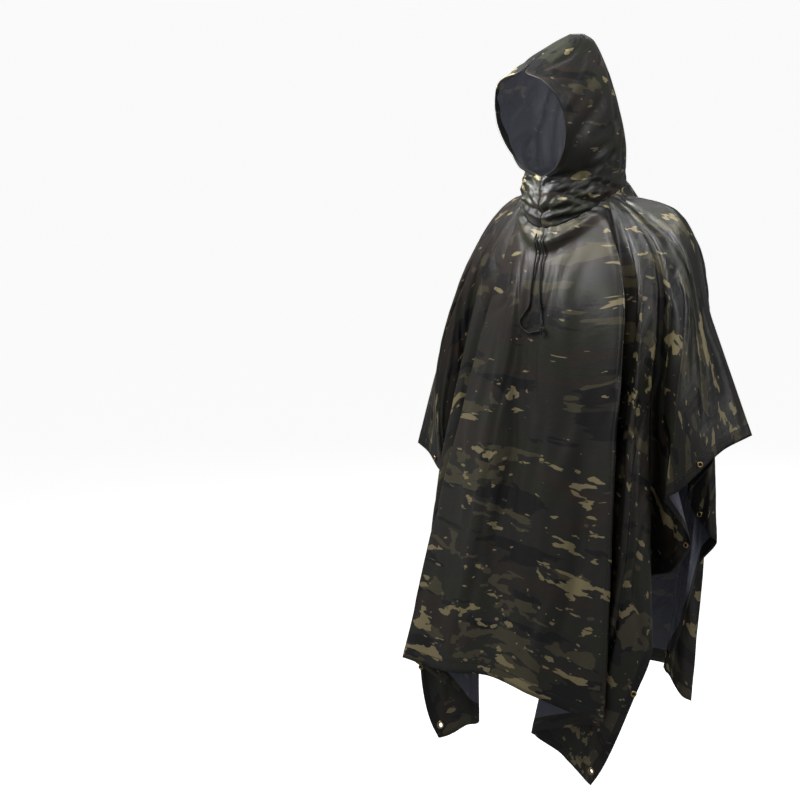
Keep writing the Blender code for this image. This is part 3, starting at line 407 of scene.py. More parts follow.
# Soft troughs (depth above 0) and ridges (below 0) on the flat cloth: ends in metres from the middle of the
# rectangle (front is -y, the wearer's left +x), half width and depth in millimetres.
Crease = namedtuple("Crease", "x0 y0 x1 y1 wide deep")
CREASES = [Crease(*row) for row in [
    (-0.06, -0.50, -0.085, -1.06, 22, 7), (-0.015, -0.46, -0.02, -0.92, 16, 4),
    (0.06, -0.52, 0.085, -1.04, 20, 6), (0.13, -0.55, 0.15, -1.08, 18, 6),
    (0.095, -0.30, 0.115, -0.66, 13, -4), (-0.12, -0.36, -0.15, -0.80, 16, -5),
    (0.215, -0.26, 0.33, -0.70, 15, 6), (0.165, -0.20, 0.235, -0.52, 11, -4),
    (0.30, -0.40, 0.47, -0.92, 18, 7), (0.25, -0.34, 0.39, -0.95, 12, -4),
    (0.42, -0.46, 0.60, -0.90, 16, 6), (0.35, -0.22, 0.56, -0.48, 19, 6),
    (0.30, -0.14, 0.60, -0.30, 21, 7), (0.26, -0.07, 0.64, -0.15, 20, 6),
    (0.40, -0.03, 0.70, -0.04, 16, -4),
    (0.53, -0.62, 0.69, -0.86, 14, 5), (0.56, -0.36, 0.70, -0.56, 14, 5),
    (0.48, -0.80, 0.64, -1.06, 14, 5), (0.36, -0.84, 0.43, -1.08, 14, 4),
    (-0.21, -0.28, -0.33, -0.72, 15, 6), (-0.17, -0.20, -0.24, -0.50, 11, -4),
    (-0.32, -0.42, -0.47, -0.94, 17, 6), (-0.26, -0.34, -0.38, -0.92, 12, -4),
    (-0.42, -0.44, -0.60, -0.88, 16, 6), (-0.35, -0.22, -0.56, -0.46, 15, 6),
    (-0.30, -0.13, -0.61, -0.28, 16, 7), (-0.26, -0.05, -0.65, -0.12, 15, 6),
    (-0.34, -0.18, -0.65, -0.40, 11, -5), (-0.53, -0.62, -0.69, -0.86, 14, 5),
    (-0.48, -0.80, -0.64, -1.06, 14, 5), (-0.20, -0.70, -0.24, -1.07, 15, 4),
    (-0.06, -0.20, -0.11, -0.32, 9, 3), (0.12, -0.72, 0.11, -1.04, 14, -4),
    (0.035, -0.19, 0.06, -0.66, 13, 4), (0.085, -0.18, 0.12, -0.62, 12, -3.5),
    (-0.035, -0.20, -0.055, -0.62, 12, 3.5), (0.125, -0.20, 0.165, -0.70, 11, 3.5),
    (0.00, 0.24, -0.04, 0.92, 22, 6), (0.07, 0.20, 0.12, 0.86, 16, 5),
    (-0.08, 0.22, -0.13, 0.94, 18, 6), (0.03, 0.44, 0.05, 1.06, 14, -4),
    (0.16, 0.24, 0.25, 0.78, 14, 6), (-0.16, 0.22, -0.25, 0.80, 14, 6),
    (0.22, 0.22, 0.38, 0.82, 13, -5), (-0.22, 0.22, -0.39, 0.84, 13, -5),
    (0.30, 0.30, 0.52, 0.94, 17, 7), (-0.30, 0.30, -0.52, 0.94, 17, 7),
    (0.33, 0.19, 0.62, 0.52, 15, 6), (-0.33, 0.19, -0.62, 0.52, 15, 6),
    (0.29, 0.10, 0.65, 0.24, 15, 6), (-0.29, 0.10, -0.65, 0.24, 15, 6),
    (0.46, 0.44, 0.69, 0.80, 13, 5), (-0.46, 0.44, -0.69, 0.80, 13, 5),
    (0.06, 0.78, 0.09, 1.07, 13, 4), (-0.06, 0.74, -0.10, 1.06, 13, 4),
]]
# Share of a crease's length over which it fades at each end, and how far its line wanders
CREASE_END, CREASE_BOW = 0.42, 1.2 * CM
GATHER_REACH, GATHER_DEPTH = 5.5 * CM, 1.5 * MM
COWL_FROM_SEAM, COWL_DEPTH, COWL_WIDE, TROUGH_BELOW = 3.4 * CM, 11.0 * MM, 1.2 * CM, 2.2 * CM
# Where crumples start beside a sewn edge, and where the cloth over the arms is drawn smooth
SEWN_CALM, END_CALM, ARM_FROM, ARM_OVER = 3.0 * CM, 8.0 * CM, 20.0 * CM, 15.0 * CM


def trough(away):
    """A soft fold's profile, (1 - 1.2 q) exp(-q), with q the square of away."""
    return (1 - 1.2 * away**2) * np.exp(-(away**2))


def creased(x, y):
    """How far the cloth stands out: a trough along each crease, on a slightly wavy line, fading at both ends."""
    stand = np.zeros_like(x)
    for crease in CREASES:
        dx, dy = crease.x1 - crease.x0, crease.y1 - crease.y0
        length = math.hypot(dx, dy)
        along = ((x - crease.x0) * dx + (y - crease.y0) * dy) / length
        bow = CREASE_BOW * np.sin(7.0 * along / length + 40 * crease.x0)
        across = ((x - crease.x0) * dy - (y - crease.y0) * dx) / length + bow
        wide = crease.wide * MM * (0.7 + 0.6 * ramp(along / length))
        ends = CREASE_END * length
        fade = ramp((along + 0.4 * ends) / ends) * ramp((length + 0.4 * ends - along) / ends)
        stand -= crease.deep * MM * trough(across / wide) * fade * fade * (3 - 2 * fade)
    return stand


def crumpled(x, y, seed, shortest=0.05, longest=0.14, lean=0.25, height=0.008):
    """Uneven soft folds: 18 waves, most of them lying down the cloth, each a crest (1 - |sin|) ** 1.4, bent and
    faded by slower ones. height is a share of the wave."""
    chance = np.random.default_rng(seed)
    stand = np.zeros_like(x)
    for _ in range(18):
        wave = chance.uniform(shortest, longest)
        way = chance.normal(0.0, lean)
        phase, bend, place = chance.uniform(0, 2 * math.pi, 3)
        across = x * math.cos(way) + y * math.sin(way)
        slow = np.sin(y * 0.5 / wave * chance.uniform(0.6, 1.6) + x * chance.uniform(-0.4, 0.4) / wave + place)
        ripple = np.sin(math.pi * across / wave + phase + 1.2 * np.sin(0.35 * y / wave + bend))
        stand += height * wave * (1 - np.abs(ripple)) ** 1.4 * slow
    return stand


def gathered(x, y, radius):
    """Pleats sewn into the neck seam: uneven cosines round the neck, deepest at the seam and gone a hand's width
    out."""
    turn = np.arctan2(x, -y)
    uneven = np.cos(34 * turn + 1.3 * np.sin(5 * turn)) + 0.6 * np.cos(21 * turn + 2.0 * np.sin(3 * turn) + 1.0)
    return GATHER_DEPTH * uneven * np.exp(-((radius / GATHER_REACH) ** 1.3))


def cowl(turns, radius):
    """The chest cloth's slack under the throat: a bell-shaped roll that runs round the front of the neck, with a
    trough below it."""
    off = radius - COWL_FROM_SEAM - 1.0 * CM * np.cos(2.2 * (turns - 0.25))
    roll = bell(off, COWL_WIDE) - 0.8 * bell(off - TROUGH_BELOW, COWL_WIDE)
    return COWL_DEPTH * roll * (bell(turns - 0.45, 0.55) + 0.6 * bell(turns + 0.75, 0.4))


def shell(middle, normals, thick):
    """A closed wall: the grid moved out and in by half its thickness, with a strip of faces round the rim."""
    rows, columns = middle.shape[:2]
    half = normals * (thick / 2)[..., None]
    vertices = np.concatenate([(middle + half).reshape(-1, 3), (middle - half).reshape(-1, 3)])
    index = np.arange(rows * columns).reshape(rows, columns)
    a, b, c, d = (part.ravel() for part in (index[:-1, :-1], index[:-1, 1:], index[1:, 1:], index[1:, :-1]))
    inner = rows * columns
    outside, inside = np.stack([a, d, c, b], axis=1), np.stack([a, b, c, d], axis=1) + inner
    rim = []
    for border in (index[0], index[:, -1], index[-1, ::-1], index[::-1, 0]):
        rim.append(np.stack([border[:-1], border[1:], border[1:] + inner, border[:-1] + inner], axis=1))
    return vertices, outside, inside, np.concatenate(rim)


def piece(name, vertices, faces, uv, looks, which=None):
    """A mesh object from whole arrays: uv holds one pair for each vertex, which the material of each face."""
    mesh = bpy.data.meshes.new(name)
    corners = faces.shape[1]
    mesh.vertices.add(len(vertices))
    mesh.vertices.foreach_set("co", vertices.astype(np.float32).ravel())
    mesh.loops.add(faces.size)
    mesh.loops.foreach_set("vertex_index", faces.astype(np.int32).ravel())
    mesh.polygons.add(len(faces))
    mesh.polygons.foreach_set("loop_start", np.arange(0, faces.size, corners, dtype=np.int32))
    for look in looks:
        mesh.materials.append(look)
    if which is not None:
        mesh.polygons.foreach_set("material_index", np.asarray(which, dtype=np.int32))
    mesh.uv_layers.new(name="cut").data.foreach_set("uv", uv[faces.ravel()].astype(np.float32).ravel())
    mesh.update(calc_edges=True)
    mesh.validate()
    mesh.shade_smooth()
    return put(name, mesh)


def even_columns(first, last, count):
    """Cuts from first to last, crowded where the folds bend most."""
    dense = np.linspace(first, last, int((last - first) / TABLE_STEP) + 1)
    rings = fold_controls(dense)[:, 1:, :2]
    steps = np.diff(rings, axis=0)
    headings = np.unwrap(np.arctan2(steps[..., 1], steps[..., 0]), axis=0)
    bends = np.abs(np.diff(headings, axis=0, prepend=headings[:1])).max(axis=1)
    measure = np.linalg.norm(steps, axis=2).max(axis=1) / FINE_STEP + bends / FINE_BEND + FINE_EVEN
    along = np.concatenate([[0.0], np.cumsum(measure)])
    return np.interp(np.linspace(0, along[-1], count), along, dense)


def body_half(name, first, last, columns, rows, shift, seed, looks):
    """One half of the body: the drape, moved out by gathers, creases and crumples, a closed wall with a hem."""
    cuts = even_columns(first, last, columns)
    shares = np.linspace(0, 1, rows) ** 1.05
    middle = drape(cuts, shares)
    normals = facing(smoothed(middle, 6))
    turns = neck_turns(cuts)
    seam_x, seam_y = NECK_HALF_WIDTH * np.sin(turns), -(NECK_BACK - NECK_FRONT) / 2 * np.cos(turns)
    edge_x, edge_y = cut_position(cuts)
    x = seam_x + (edge_x - seam_x) * shares[:, None]
    y = seam_y + (edge_y - seam_y) * shares[:, None]
    radius = np.hypot(x - seam_x, y - seam_y)
    quiet = ramp(np.minimum(cuts - first, last - cuts) / END_CALM) ** 0.5
    calm = ramp(radius / SEWN_CALM)
    # The cloth is drawn smoother over the arms than down the front and back
    drawn = 1 - 0.6 * ramp((np.abs(x) - ARM_FROM) / ARM_OVER)
    soft = crumpled(x, y, seed, 0.035, 0.12, lean=0.12, height=0.010) * drawn
    stand = (creased(x, y) + soft) * calm + gathered(x, y, radius)
    stand += cowl(turns, radius) * ramp(2 * radius / SEWN_CALM)
    middle = middle + normals * (stand * quiet)[..., None]
    normals = facing(middle)
    middle[0, :, 2] -= SEAM_GAP
    middle[..., 1] += shift
    to_edge = np.minimum(HALF_WIDTH - np.abs(x), HALF_LENGTH - np.abs(y))
    hemmed = 1 / (1 + np.exp((to_edge - HEM_DEPTH) / (0.7 * MM)))
    thick = CLOTH_THICK + (HEM_THICK - CLOTH_THICK) * hemmed
    vertices, outside, inside, rim = shell(middle, normals, thick)
    flat = np.stack([x.ravel(), y.ravel()], axis=1)
    hem_face = (to_edge.ravel()[inside - x.size].mean(axis=1) < HEM_DEPTH).astype(int)
    which = np.concatenate([np.zeros(len(outside), int), 1 - hem_face, np.zeros(len(rim), int)])
    faces = np.concatenate([outside, inside, rim])
    return piece(name, vertices, faces, np.concatenate([flat, flat]), looks, which)


CHARCOAL, BROWN, OLIVE, SOOT, TAN, KHAKI = "#242321", "#2a231e", "#25261c", "#101010", "#837858", "#454030"
# The third colour is painted light: a near white film for the hood's inside, much paler than the body's, so that
# the inside of the hood looks lit
THREAD, COATING, PAINTED_LIGHT_COATING = "#121211", "#74788a", "#e6eaf8"
RIPSTOP_STEP = 5.0 * MM


def printed_blobs(tree, cut, offset):
    """The print: patches of soft noise cut off at a level and stretched across the cloth, each colour over the
    last. The light ones keep to drifts, which are slower noise."""
    colour = linear(CHARCOAL)
    drift = lay(tree, "Mapping", {"Vector": cut, "Location": (offset + 0.37, 0.9, 0.0)})
    drift = lay(tree, "TexNoise", {"Vector": drift, "Scale": 3.1, "Detail": 1.5})
    # colour, patches to the metre across and down the cloth, place, level, roughness, share that drifts take
    layers = [
        (BROWN, 4.6, 12.0, 1.0, 0.53, 0.5, 0.0), (OLIVE, 5.4, 15.0, 2.0, 0.55, 0.5, 0.0),
        (SOOT, 7.0, 21.0, 3.0, 0.575, 0.55, 0.0), (KHAKI, 8.5, 19.0, 4.0, 0.675, 0.55, 0.15),
        (TAN, 13.0, 31.0, 6.0, 0.712, 0.53, 0.15), (TAN, 40.0, 66.0, 5.0, 0.765, 0.45, 0.15),
    ]
    for shade, across, down, place, level, rough, drifts in layers:
        corner = (3.1 * place + offset, 1.7 * place, 0.4 * place)
        spot = lay(tree, "Mapping", {"Vector": cut, "Location": corner, "Scale": (across, down, 1.0)})
        grain = {"Scale": 1.0, "Detail": 3.0, "Roughness": rough, "Distortion": 0.25}
        noise = lay(tree, "TexNoise", {"Vector": spot, **grain})
        mask = lay(tree, "Math", {0: drift, 1: drifts, 2: noise}, operation="MULTIPLY_ADD")
        edge = lay(tree, "MapRange", {"Value": mask, "From Min": level, "From Max": level + 0.01})
        colour = lay(tree, "Mix", {0: edge, 6: colour, 7: linear(shade)}, data_type="RGBA").outputs[2]
    return colour


def cloth_relief(tree, cut, hemmed, deep=4.0):
    """Bump in layers: packing crinkles, deep in millimetres, the ripstop's 5 mm grid, and the stitch row of the
    hem. Gives the normal, and the stitch row's mask."""
    # Crinkles about 45 mm apart, drawn out down the cloth, and finer ones about 14 mm apart
    spot = lay(tree, "Mapping", {"Vector": cut, "Scale": (1.0, 0.3, 1.0)})
    grain = {"Scale": 22.0, "Detail": 4.0, "Roughness": 0.55, "Distortion": 0.9}
    crinkle = lay(tree, "TexNoise", {"Vector": spot, **grain})
    fine = lay(tree, "TexNoise", {"Vector": cut, "Scale": 70.0, "Detail": 2.0, "Distortion": 0.8})
    parts = lay(tree, "SeparateXYZ", {"Vector": cut})
    lines, gaps, row = {}, {}, None
    for axis in (0, 1):
        # A thicker thread at each step of the grid: fract(x / step) below 0.14
        cell = lay(tree, "Math", {0: parts.outputs[axis], 1: 1 / RIPSTOP_STEP}, operation="MULTIPLY")
        cell = lay(tree, "Math", {0: cell}, operation="FRACT")
        lines[axis] = lay(tree, "Math", {0: cell, 1: 0.14}, operation="LESS_THAN")
    grid = lay(tree, "Math", lines, operation="MAXIMUM")
    reliefs = [(crinkle, 0.5, deep), (fine, 0.25, 1.5), (grid, 0.35, 0.12)]
    if hemmed:
        for axis, half in ((0, HALF_WIDTH), (1, HALF_LENGTH)):
            size = lay(tree, "Math", {0: parts.outputs[axis]}, operation="ABSOLUTE")
            gaps[axis] = lay(tree, "Math", {0: half, 1: size}, operation="SUBTRACT")
        away = lay(tree, "Math", gaps, operation="MINIMUM")
        place = {0: away, 1: HEM_DEPTH - 2.5 * MM, 2: 1.1 * MM}
        row = lay(tree, "Math", place, operation="COMPARE")
        reliefs.append((row, 0.8, 0.8))
    under = {}
    for source, strength, height in reliefs:
        links = {"Strength": strength, "Distance": height * MM, "Height": source, **under}
        under = {"Normal": lay(tree, "Bump", links, invert=source is row)}
    return under["Normal"], row


def printed_ripstop(name, offset, hemmed=True):
    """Printed ripstop nylon with a proofed face: a woven, slightly waxy cloth whose folds carry long soft
    highlights. Down the two sides the hem is mixed three quarters of the way to soot black."""
    look, tree, shader = new_material(name)
    cut = lay(tree, "UVMap", uv_map="cut")
    colour = printed_blobs(tree, cut, offset)
    normal, row = cloth_relief(tree, cut, hemmed)
    if hemmed:
        span = lay(tree, "SeparateXYZ", {"Vector": cut})
        span = lay(tree, "Math", {0: span}, operation="ABSOLUTE")
        fold = HALF_WIDTH - HEM_DEPTH
        doubled = lay(tree, "MapRange", {"Value": span, "From Min": fold, "From Max": fold + MM, "To Max": 0.75})
        thread = lay(tree, "Math", {0: row, 1: 0.55}, operation="MULTIPLY")
        for share, shade in ((doubled, SOOT), (thread, THREAD)):
            colour = lay(tree, "Mix", {0: share, 6: colour, 7: linear(shade)}, data_type="RGBA").outputs[2]
    feed(shader, {"Base Color": colour, "Normal": normal, "Roughness": 0.44, "IOR": 1.48})
    return look


def coated_reverse(name, offset, film, cover, hemmed=True):
    """The same cloth's inside: a clear blue-grey polyurethane film, smoother and shinier, with the print showing
    faintly through. cover is how much of the print the film hides."""
    look, tree, shader = new_material(name)
    cut = lay(tree, "UVMap", uv_map="cut")
    through = {0: cover, 6: printed_blobs(tree, cut, offset), 7: linear(film)}
    colour = lay(tree, "Mix", through, data_type="RGBA").outputs[2]
    normal, _ = cloth_relief(tree, cut, hemmed, deep=9.0)
    feed(shader, {"Base Color": colour, "Normal": normal, "Roughness": 0.33, "IOR": 1.5})
    return look


face_cloth = printed_ripstop("printed_ripstop_nylon", 0.0)
reverse_cloth = coated_reverse("polyurethane_coated_reverse", 0.0, COATING, 0.6)
ROWS, COLUMNS = 116, (400, 340)
cloth = [face_cloth, reverse_cloth]
body_front = body_half("poncho_front", -TIP_CUT, TIP_CUT, COLUMNS[0], ROWS, -SEAM_GAP / 2, 11, cloth)
last_cut = EDGE_LENGTH - TIP_CUT
body_back = body_half("poncho_back", TIP_CUT, last_cut, COLUMNS[1], ROWS, SEAM_GAP / 2, 23, cloth)
for half, end in ((body_front, "front"), (body_back, "back")):
    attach(half, "root")
    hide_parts(f"body_{end}")

# ---- Hood ----
# Two halves of the same cloth, joined by a seam over the crown, hemmed round the face and gathered into the
# neck seam. The throat is bunched by the drawcord, so its cloth rolls over itself.
Section = namedtuple("Section", "z half_width widest_y back_y edge_x edge_y")
# The left half in centimetres, from the crown down. (edge_x, edge_y) is a point of the face opening's rim.
HOOD_SECTIONS = [Section(*row) for row in [
    (29.9, 0.5, -1.5, 0.8, 0.0, -3.6),
    (28.7, 2.4, -2.4, 3.4, 0.0, -6.5),
    (26.4, 4.3, -4.2, 4.8, 0.0, -12.3),
    (24.4, 6.0, -6.0, 5.4, 0.0, -16.7),
    (22.8, 7.2, -6.8, 5.7, 0.4, -19.8),
    (21.8, 7.9, -7.2, 5.9, 4.6, -19.7),
    (19.8, 8.9, -7.4, 6.2, 6.8, -19.0),
    (16.9, 9.7, -6.4, 6.9, 8.0, -17.8),
    (12.5, 10.2, -5.0, 8.0, 8.5, -16.6),
    (7.7, 10.2, -3.5, 9.4, 7.0, -15.4),
    (3.8, 9.5, -2.2, 10.0, 4.0, -14.2),
    (2.2, 9.2, -1.7, 10.3, 0.4, -13.1),
]]
BRIM_DEPTH, SEAM_ALLOWANCE, HOOD_RADIUS = 22.0 * MM, 6.0 * MM, 10.0 * CM
THROAT_BULGE, ROLL_REACH, HOOD_FADE, SHARED_FRONT = 8.0 * MM, 0.42, 4.0 * CM, 2.2 * CM
# shortest and longest wave, spread of its lean, and height, of the cloth that the cord bunches
BUNCHED = (1.5 * CM, 3.8 * CM, 0.45, 0.078)
HOOD_ROWS, HOOD_COLUMNS, THROAT_ROWS = 110, 130, 44
Roll = namedtuple("Roll", "z turn lean wide deep")
# Bunched cloth at the throat: height and turn in centimetres and degrees from the front, lean of the roll,
# half width and depth in millimetres
ROLLS = [Roll(*row) for row in [
    (1.8, 20, 0.30, 9, 5), (-1.8, 38, -0.35, 10, 6), (-4.4, 14, 0.30, 9, 6),
    (3.8, 66, 0.45, 11, 5), (0.2, 78, -0.30, 10, 5), (-5.8, 34, 0.20, 9, 5),
    (1.4, 120, 0.25, 10, 4), (-0.6, 155, -0.20, 9, 4),
]]
HoodCrease = namedtuple("HoodCrease", "turn0 z0 turn1 z1 wide deep")
# Soft folds higher up the hood: degrees from the front and centimetres at each end, then millimetres
HOOD_CREASES = [HoodCrease(*row) for row in [
    (34, 5, 100, 19, 13, 6), (50, 3, 118, 14, 12, 6), (28, 9, 92, 25, 12, -4),
    (85, 3, 128, 22, 13, 5), (110, 4, 140, 24, 12, 4), (140, 4, 155, 20, 12, 4),
    (25, 23, 70, 27, 9, 3), (75, 9, 115, 12, 10, -3), (165, 3, 170, 16, 11, 3),
]]


def hood_half(name, side, seed, looks):
    """One half: in each level a quarter ellipse in front and one behind, from the rim to the middle of the back;
    below, the throat runs straight down to the neck seam, bulged by a sine."""
    table = np.array([tuple(section) for section in HOOD_SECTIONS]) * CM
    order = np.arange(len(table), dtype=float)
    at = np.linspace(0, len(table) - 1, HOOD_ROWS)
    rows = np.stack([np.interp(at, order, column) for column in table.T], axis=1)
    for _ in range(14):
        rows[1:-1] = 0.25 * rows[:-2] + 0.5 * rows[1:-1] + 0.25 * rows[2:]
    across = np.linspace(0, 1, HOOD_COLUMNS)
    z, half_width, widest_y, back_y, edge_x, edge_y = (column[:, None] for column in rows.T)
    start = np.arcsin(np.clip(edge_x / np.maximum(half_width, 1 * MM), 0, 0.98))
    reach = (widest_y - edge_y) / np.cos(start)
    turns = start + (math.pi - start) * across
    depth = np.where(turns < math.pi / 2, reach, back_y - widest_y)
    top = np.stack([half_width * np.sin(turns), widest_y - depth * np.cos(turns), z + 0 * turns], axis=-1)
    lowest, low_turns = top[-1], math.pi * across
    seam = neck_seam(low_turns)
    seam[:, 2] += 2 * SEAM_GAP
    out = np.stack([np.sin(low_turns), -np.cos(low_turns), 0 * low_turns], axis=1)
    front = ((1 + np.cos(low_turns)) / 2) ** 2
    down = np.linspace(0, 1, THROAT_ROWS + 1)[1:, None]
    bulge = THROAT_BULGE * np.sin(math.pi * down) ** 0.8
    throat = lowest + (seam - lowest) * down[..., None] + out * (bulge * front)[..., None]
    middle = np.concatenate([top, throat])
    turns = np.concatenate([turns, np.broadcast_to(low_turns, (THROAT_ROWS, HOOD_COLUMNS))])
    normals = facing(smoothed(middle, 4))
    height = middle[..., 2]
    stand = np.zeros_like(turns)
    arm = HOOD_RADIUS
    for roll in ROLLS:
        off = (height - roll.z * CM - roll.lean * arm * (turns - math.radians(roll.turn))) / (roll.wide * MM)
        stand -= roll.deep * MM * trough(off) * bell(turns - math.radians(roll.turn), ROLL_REACH)
    for crease in HOOD_CREASES:
        x0, x1 = math.radians(crease.turn0) * arm, math.radians(crease.turn1) * arm
        y0, y1 = crease.z0 * CM, crease.z1 * CM
        length = math.hypot(x1 - x0, y1 - y0)
        along = ((turns * arm - x0) * (x1 - x0) + (height - y0) * (y1 - y0)) / length
        away = ((turns * arm - x0) * (y1 - y0) - (height - y0) * (x1 - x0)) / length / (crease.wide * MM)
        fade = ramp(along / HOOD_FADE + 0.5) * ramp((length - along) / HOOD_FADE + 0.5)
        stand -= crease.deep * MM * trough(away) * fade
    bunch = np.exp(-(((height + 1.0 * CM) / (5.0 * CM)) ** 4)) * (0.35 + 0.65 * bell(turns, 1.5))
    from_rim = walked(middle.transpose(1, 0, 2)).T
    to_back = from_rim[:, -1:] - from_rim
    # The bunched folds climb from the cord towards the back; the two halves share them where they meet in front
    climb = math.radians(36)
    across = height * math.cos(climb) - turns * arm * math.sin(climb)
    along = height * math.sin(climb) + turns * arm * math.cos(climb)
    shared = bell(from_rim, SHARED_FRONT)
    front_folds = crumpled(across, along, 40, *BUNCHED)
    own_folds = crumpled(across, along, seed + 7, *BUNCHED)
    stand += bunch * (shared * front_folds + (1 - shared) * own_folds)
    stand += (1 - shared) * crumpled(turns * arm * 1.4, height, seed, height=0.006)
    shut = ramp((2.0 * CM - height) / (1.5 * CM))
    calm = ramp(to_back / (1.2 * CM)) * np.maximum(np.clip(from_rim / (1.5 * CM), 0.15, 1), shut)
    closed = np.concatenate([rows[:, 4] < 0.1 * CM, np.ones(THROAT_ROWS, bool)])
    calm[-1], calm[0] = 0.0, 0.0
    middle = middle + normals * (stand * calm)[..., None]
    middle[closed, 0, 0] = 0.0
    middle[:, -1, 0] = 0.0
    normals = facing(middle)
    normals[:, -1, 0] = 0.0
    normals[closed, 0, 0] = 0.0
    normals[-1, :, 2] = 0.0
    normals[0] = (0.0, 0.0, 1.0)
    normals = unit(normals)
    middle[..., 0] += SEAM_GAP / 2
    open_rim = ~closed[:, None]
    brim = open_rim & (from_rim < BRIM_DEPTH)
    thick = np.where(brim, HEM_THICK, CLOTH_THICK)
    # The seam allowance over the crown stands a little proud inside
    tape = (to_back < SEAM_ALLOWANCE) | (~open_rim & (from_rim < SEAM_ALLOWANCE) & (height > 0.2))
    vertices, outside, inside, rim = shell(middle, normals, thick)
    flat = np.stack([side * (from_rim + 0.2), height + 0.4], axis=-1).reshape(-1, 2)
    doubled = (brim | tape).ravel()[inside - turns.size].mean(axis=1) > 0.5
    which = np.concatenate([np.zeros(len(outside), int), np.where(doubled, 0, 1), np.zeros(len(rim), int)])
    faces = np.concatenate([outside, inside, rim])
    if side < 0:
        vertices[:, 0] *= -1
        faces = faces[:, ::-1]
    return piece(name, vertices, faces, np.concatenate([flat, flat]), looks, which)


hood_face = printed_ripstop("printed_ripstop_nylon_hood", 7.9, hemmed=False)
# The hood's inside takes the near white film, which is painted light falling into the hood, not the coating's own
# colour
hood_reverse_painted_light = coated_reverse("polyurethane_coated_reverse_hood_painted_light", 7.9, PAINTED_LIGHT_COATING, 0.28, hemmed=False)
for side, node_name in ((1, "hood_left"), (-1, "hood_right")):
    half = hood_half("poncho_" + node_name, side, 31 + side, [hood_face, hood_reverse_painted_light])
    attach(half, "root")
    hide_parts(node_name)

# ---- Ring snaps and eyelets ----
# Pressed brass: ring snaps riveted through the hem down each side edge, and a rolled eyelet in each corner,
# where a tent cord would tie the poncho out as a shelter. Dulled brass, with each snap's well painted near black
# as painted shade.
LATHE_STEPS = 28
# Outlines as (radius, height) in millimetres. A snap's last two faces are its well.
SNAP_OUTLINE = [(0.0, 0.0), (6.0, 0.0), (6.3, 0.5), (6.1, 1.3), (5.4, 2.1), (4.4, 2.5), (3.5, 2.3), (3.1, 1.7)]
SNAP_OUTLINE += [(2.9, 1.0), (0.0, 0.9)]
EYELET_LIP = [(4.5, 0.3), (5.0, -0.2), (6.5, -0.4), (8.0, 0.0), (8.0, 0.6), (6.2, 0.8), (5.3, 1.0)]
DRILL_OUTLINE = [(0.0, -8.0), (5.6, -8.0), (5.6, 10.0), (0.0, 10.0)]


def between(low, high):
    """Faces between rings of points and the rings that follow them."""
    return np.stack([low, np.roll(low, -1, axis=1), np.roll(high, -1, axis=1), high], axis=-1).reshape(-1, 4)


def lathe(outline, closed):
    """Vertices and faces of an outline turned round Z; its two ends meet if closed, else both lie on the axis."""
    profile = np.array(outline) * MM
    turns = np.linspace(0, 2 * math.pi, LATHE_STEPS, endpoint=False)
    radius, height = profile[:, :1], profile[:, 1:]
    rings = np.stack([radius * np.cos(turns), radius * np.sin(turns), height + 0 * turns], axis=-1)
    index = np.arange(len(profile) * LATHE_STEPS).reshape(-1, LATHE_STEPS)
    faces = between(index, np.roll(index, -1, axis=0)) if closed else between(index[:-1], index[1:])
    return rings.reshape(-1, 3), faces


def node_place(node_name):
    """Centre, axes and height of a round CAD node: its axis is the way its points spread least, towards its
    narrower end."""
    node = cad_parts[node_name]
    place = np.array(node.matrix_world)
    points = np.empty(len(node.data.vertices) * 3)
    node.data.vertices.foreach_get("co", points)
    points = points.reshape(-1, 3) @ place[:3, :3].T + place[:3, 3]
    points = np.unique(np.round(points, 6), axis=0)
    centre = points.mean(axis=0)
    _, vectors = np.linalg.eigh(np.cov((points - centre).T))
    axis, side = vectors[:, 0], vectors[:, 2]
    heights = (points - centre) @ axis
    radii = np.linalg.norm(points - centre - heights[:, None] * axis, axis=1)
    if np.corrcoef(radii, heights)[0, 1] > 0:
        axis, heights = -axis, -heights
    rim = points[radii > 0.5 * radii.max()]
    centre = rim.mean(axis=0) + axis * (heights.min() - ((rim - centre) @ axis).mean())
    return centre, np.stack([side, np.cross(axis, side), axis], axis=1), heights.max() - heights.min()


# Pressed brass that handling has dulled: a soft yellow shine, uneven in spots about 2.4 mm across
dull_brass, brass_tree, brass_shader = new_material("dulled_pressed_brass")
where = lay(brass_tree, "TexCoord").outputs["Object"]
tarnish = lay(brass_tree, "TexNoise", {"Vector": where, "Scale": 420.0, "Detail": 3.0})
shade = lay(brass_tree, "Mix", {0: tarnish, 6: linear("#8a7446"), 7: linear("#c9b184")}, data_type="RGBA")
feed(brass_shader, {"Base Color": shade.outputs[2], "Metallic": 1.0, "Roughness": 0.34})
# The well is painted near black, painted shade that makes it read as a hole
well_painted_shade, _, well_shader = new_material("brass_well_painted_shade")
feed(well_shader, {"Base Color": linear("#1a1712"), "Metallic": 0.6, "Roughness": 0.55})


def turned(name, outline, closed, centre, axes, looks, which=None):
    """A lathed piece moved to its place: every point is centre + axes x point."""
    points, faces = lathe(outline, closed)
    return piece(name, points @ axes.T + centre, faces, points[:, :2], looks, which)


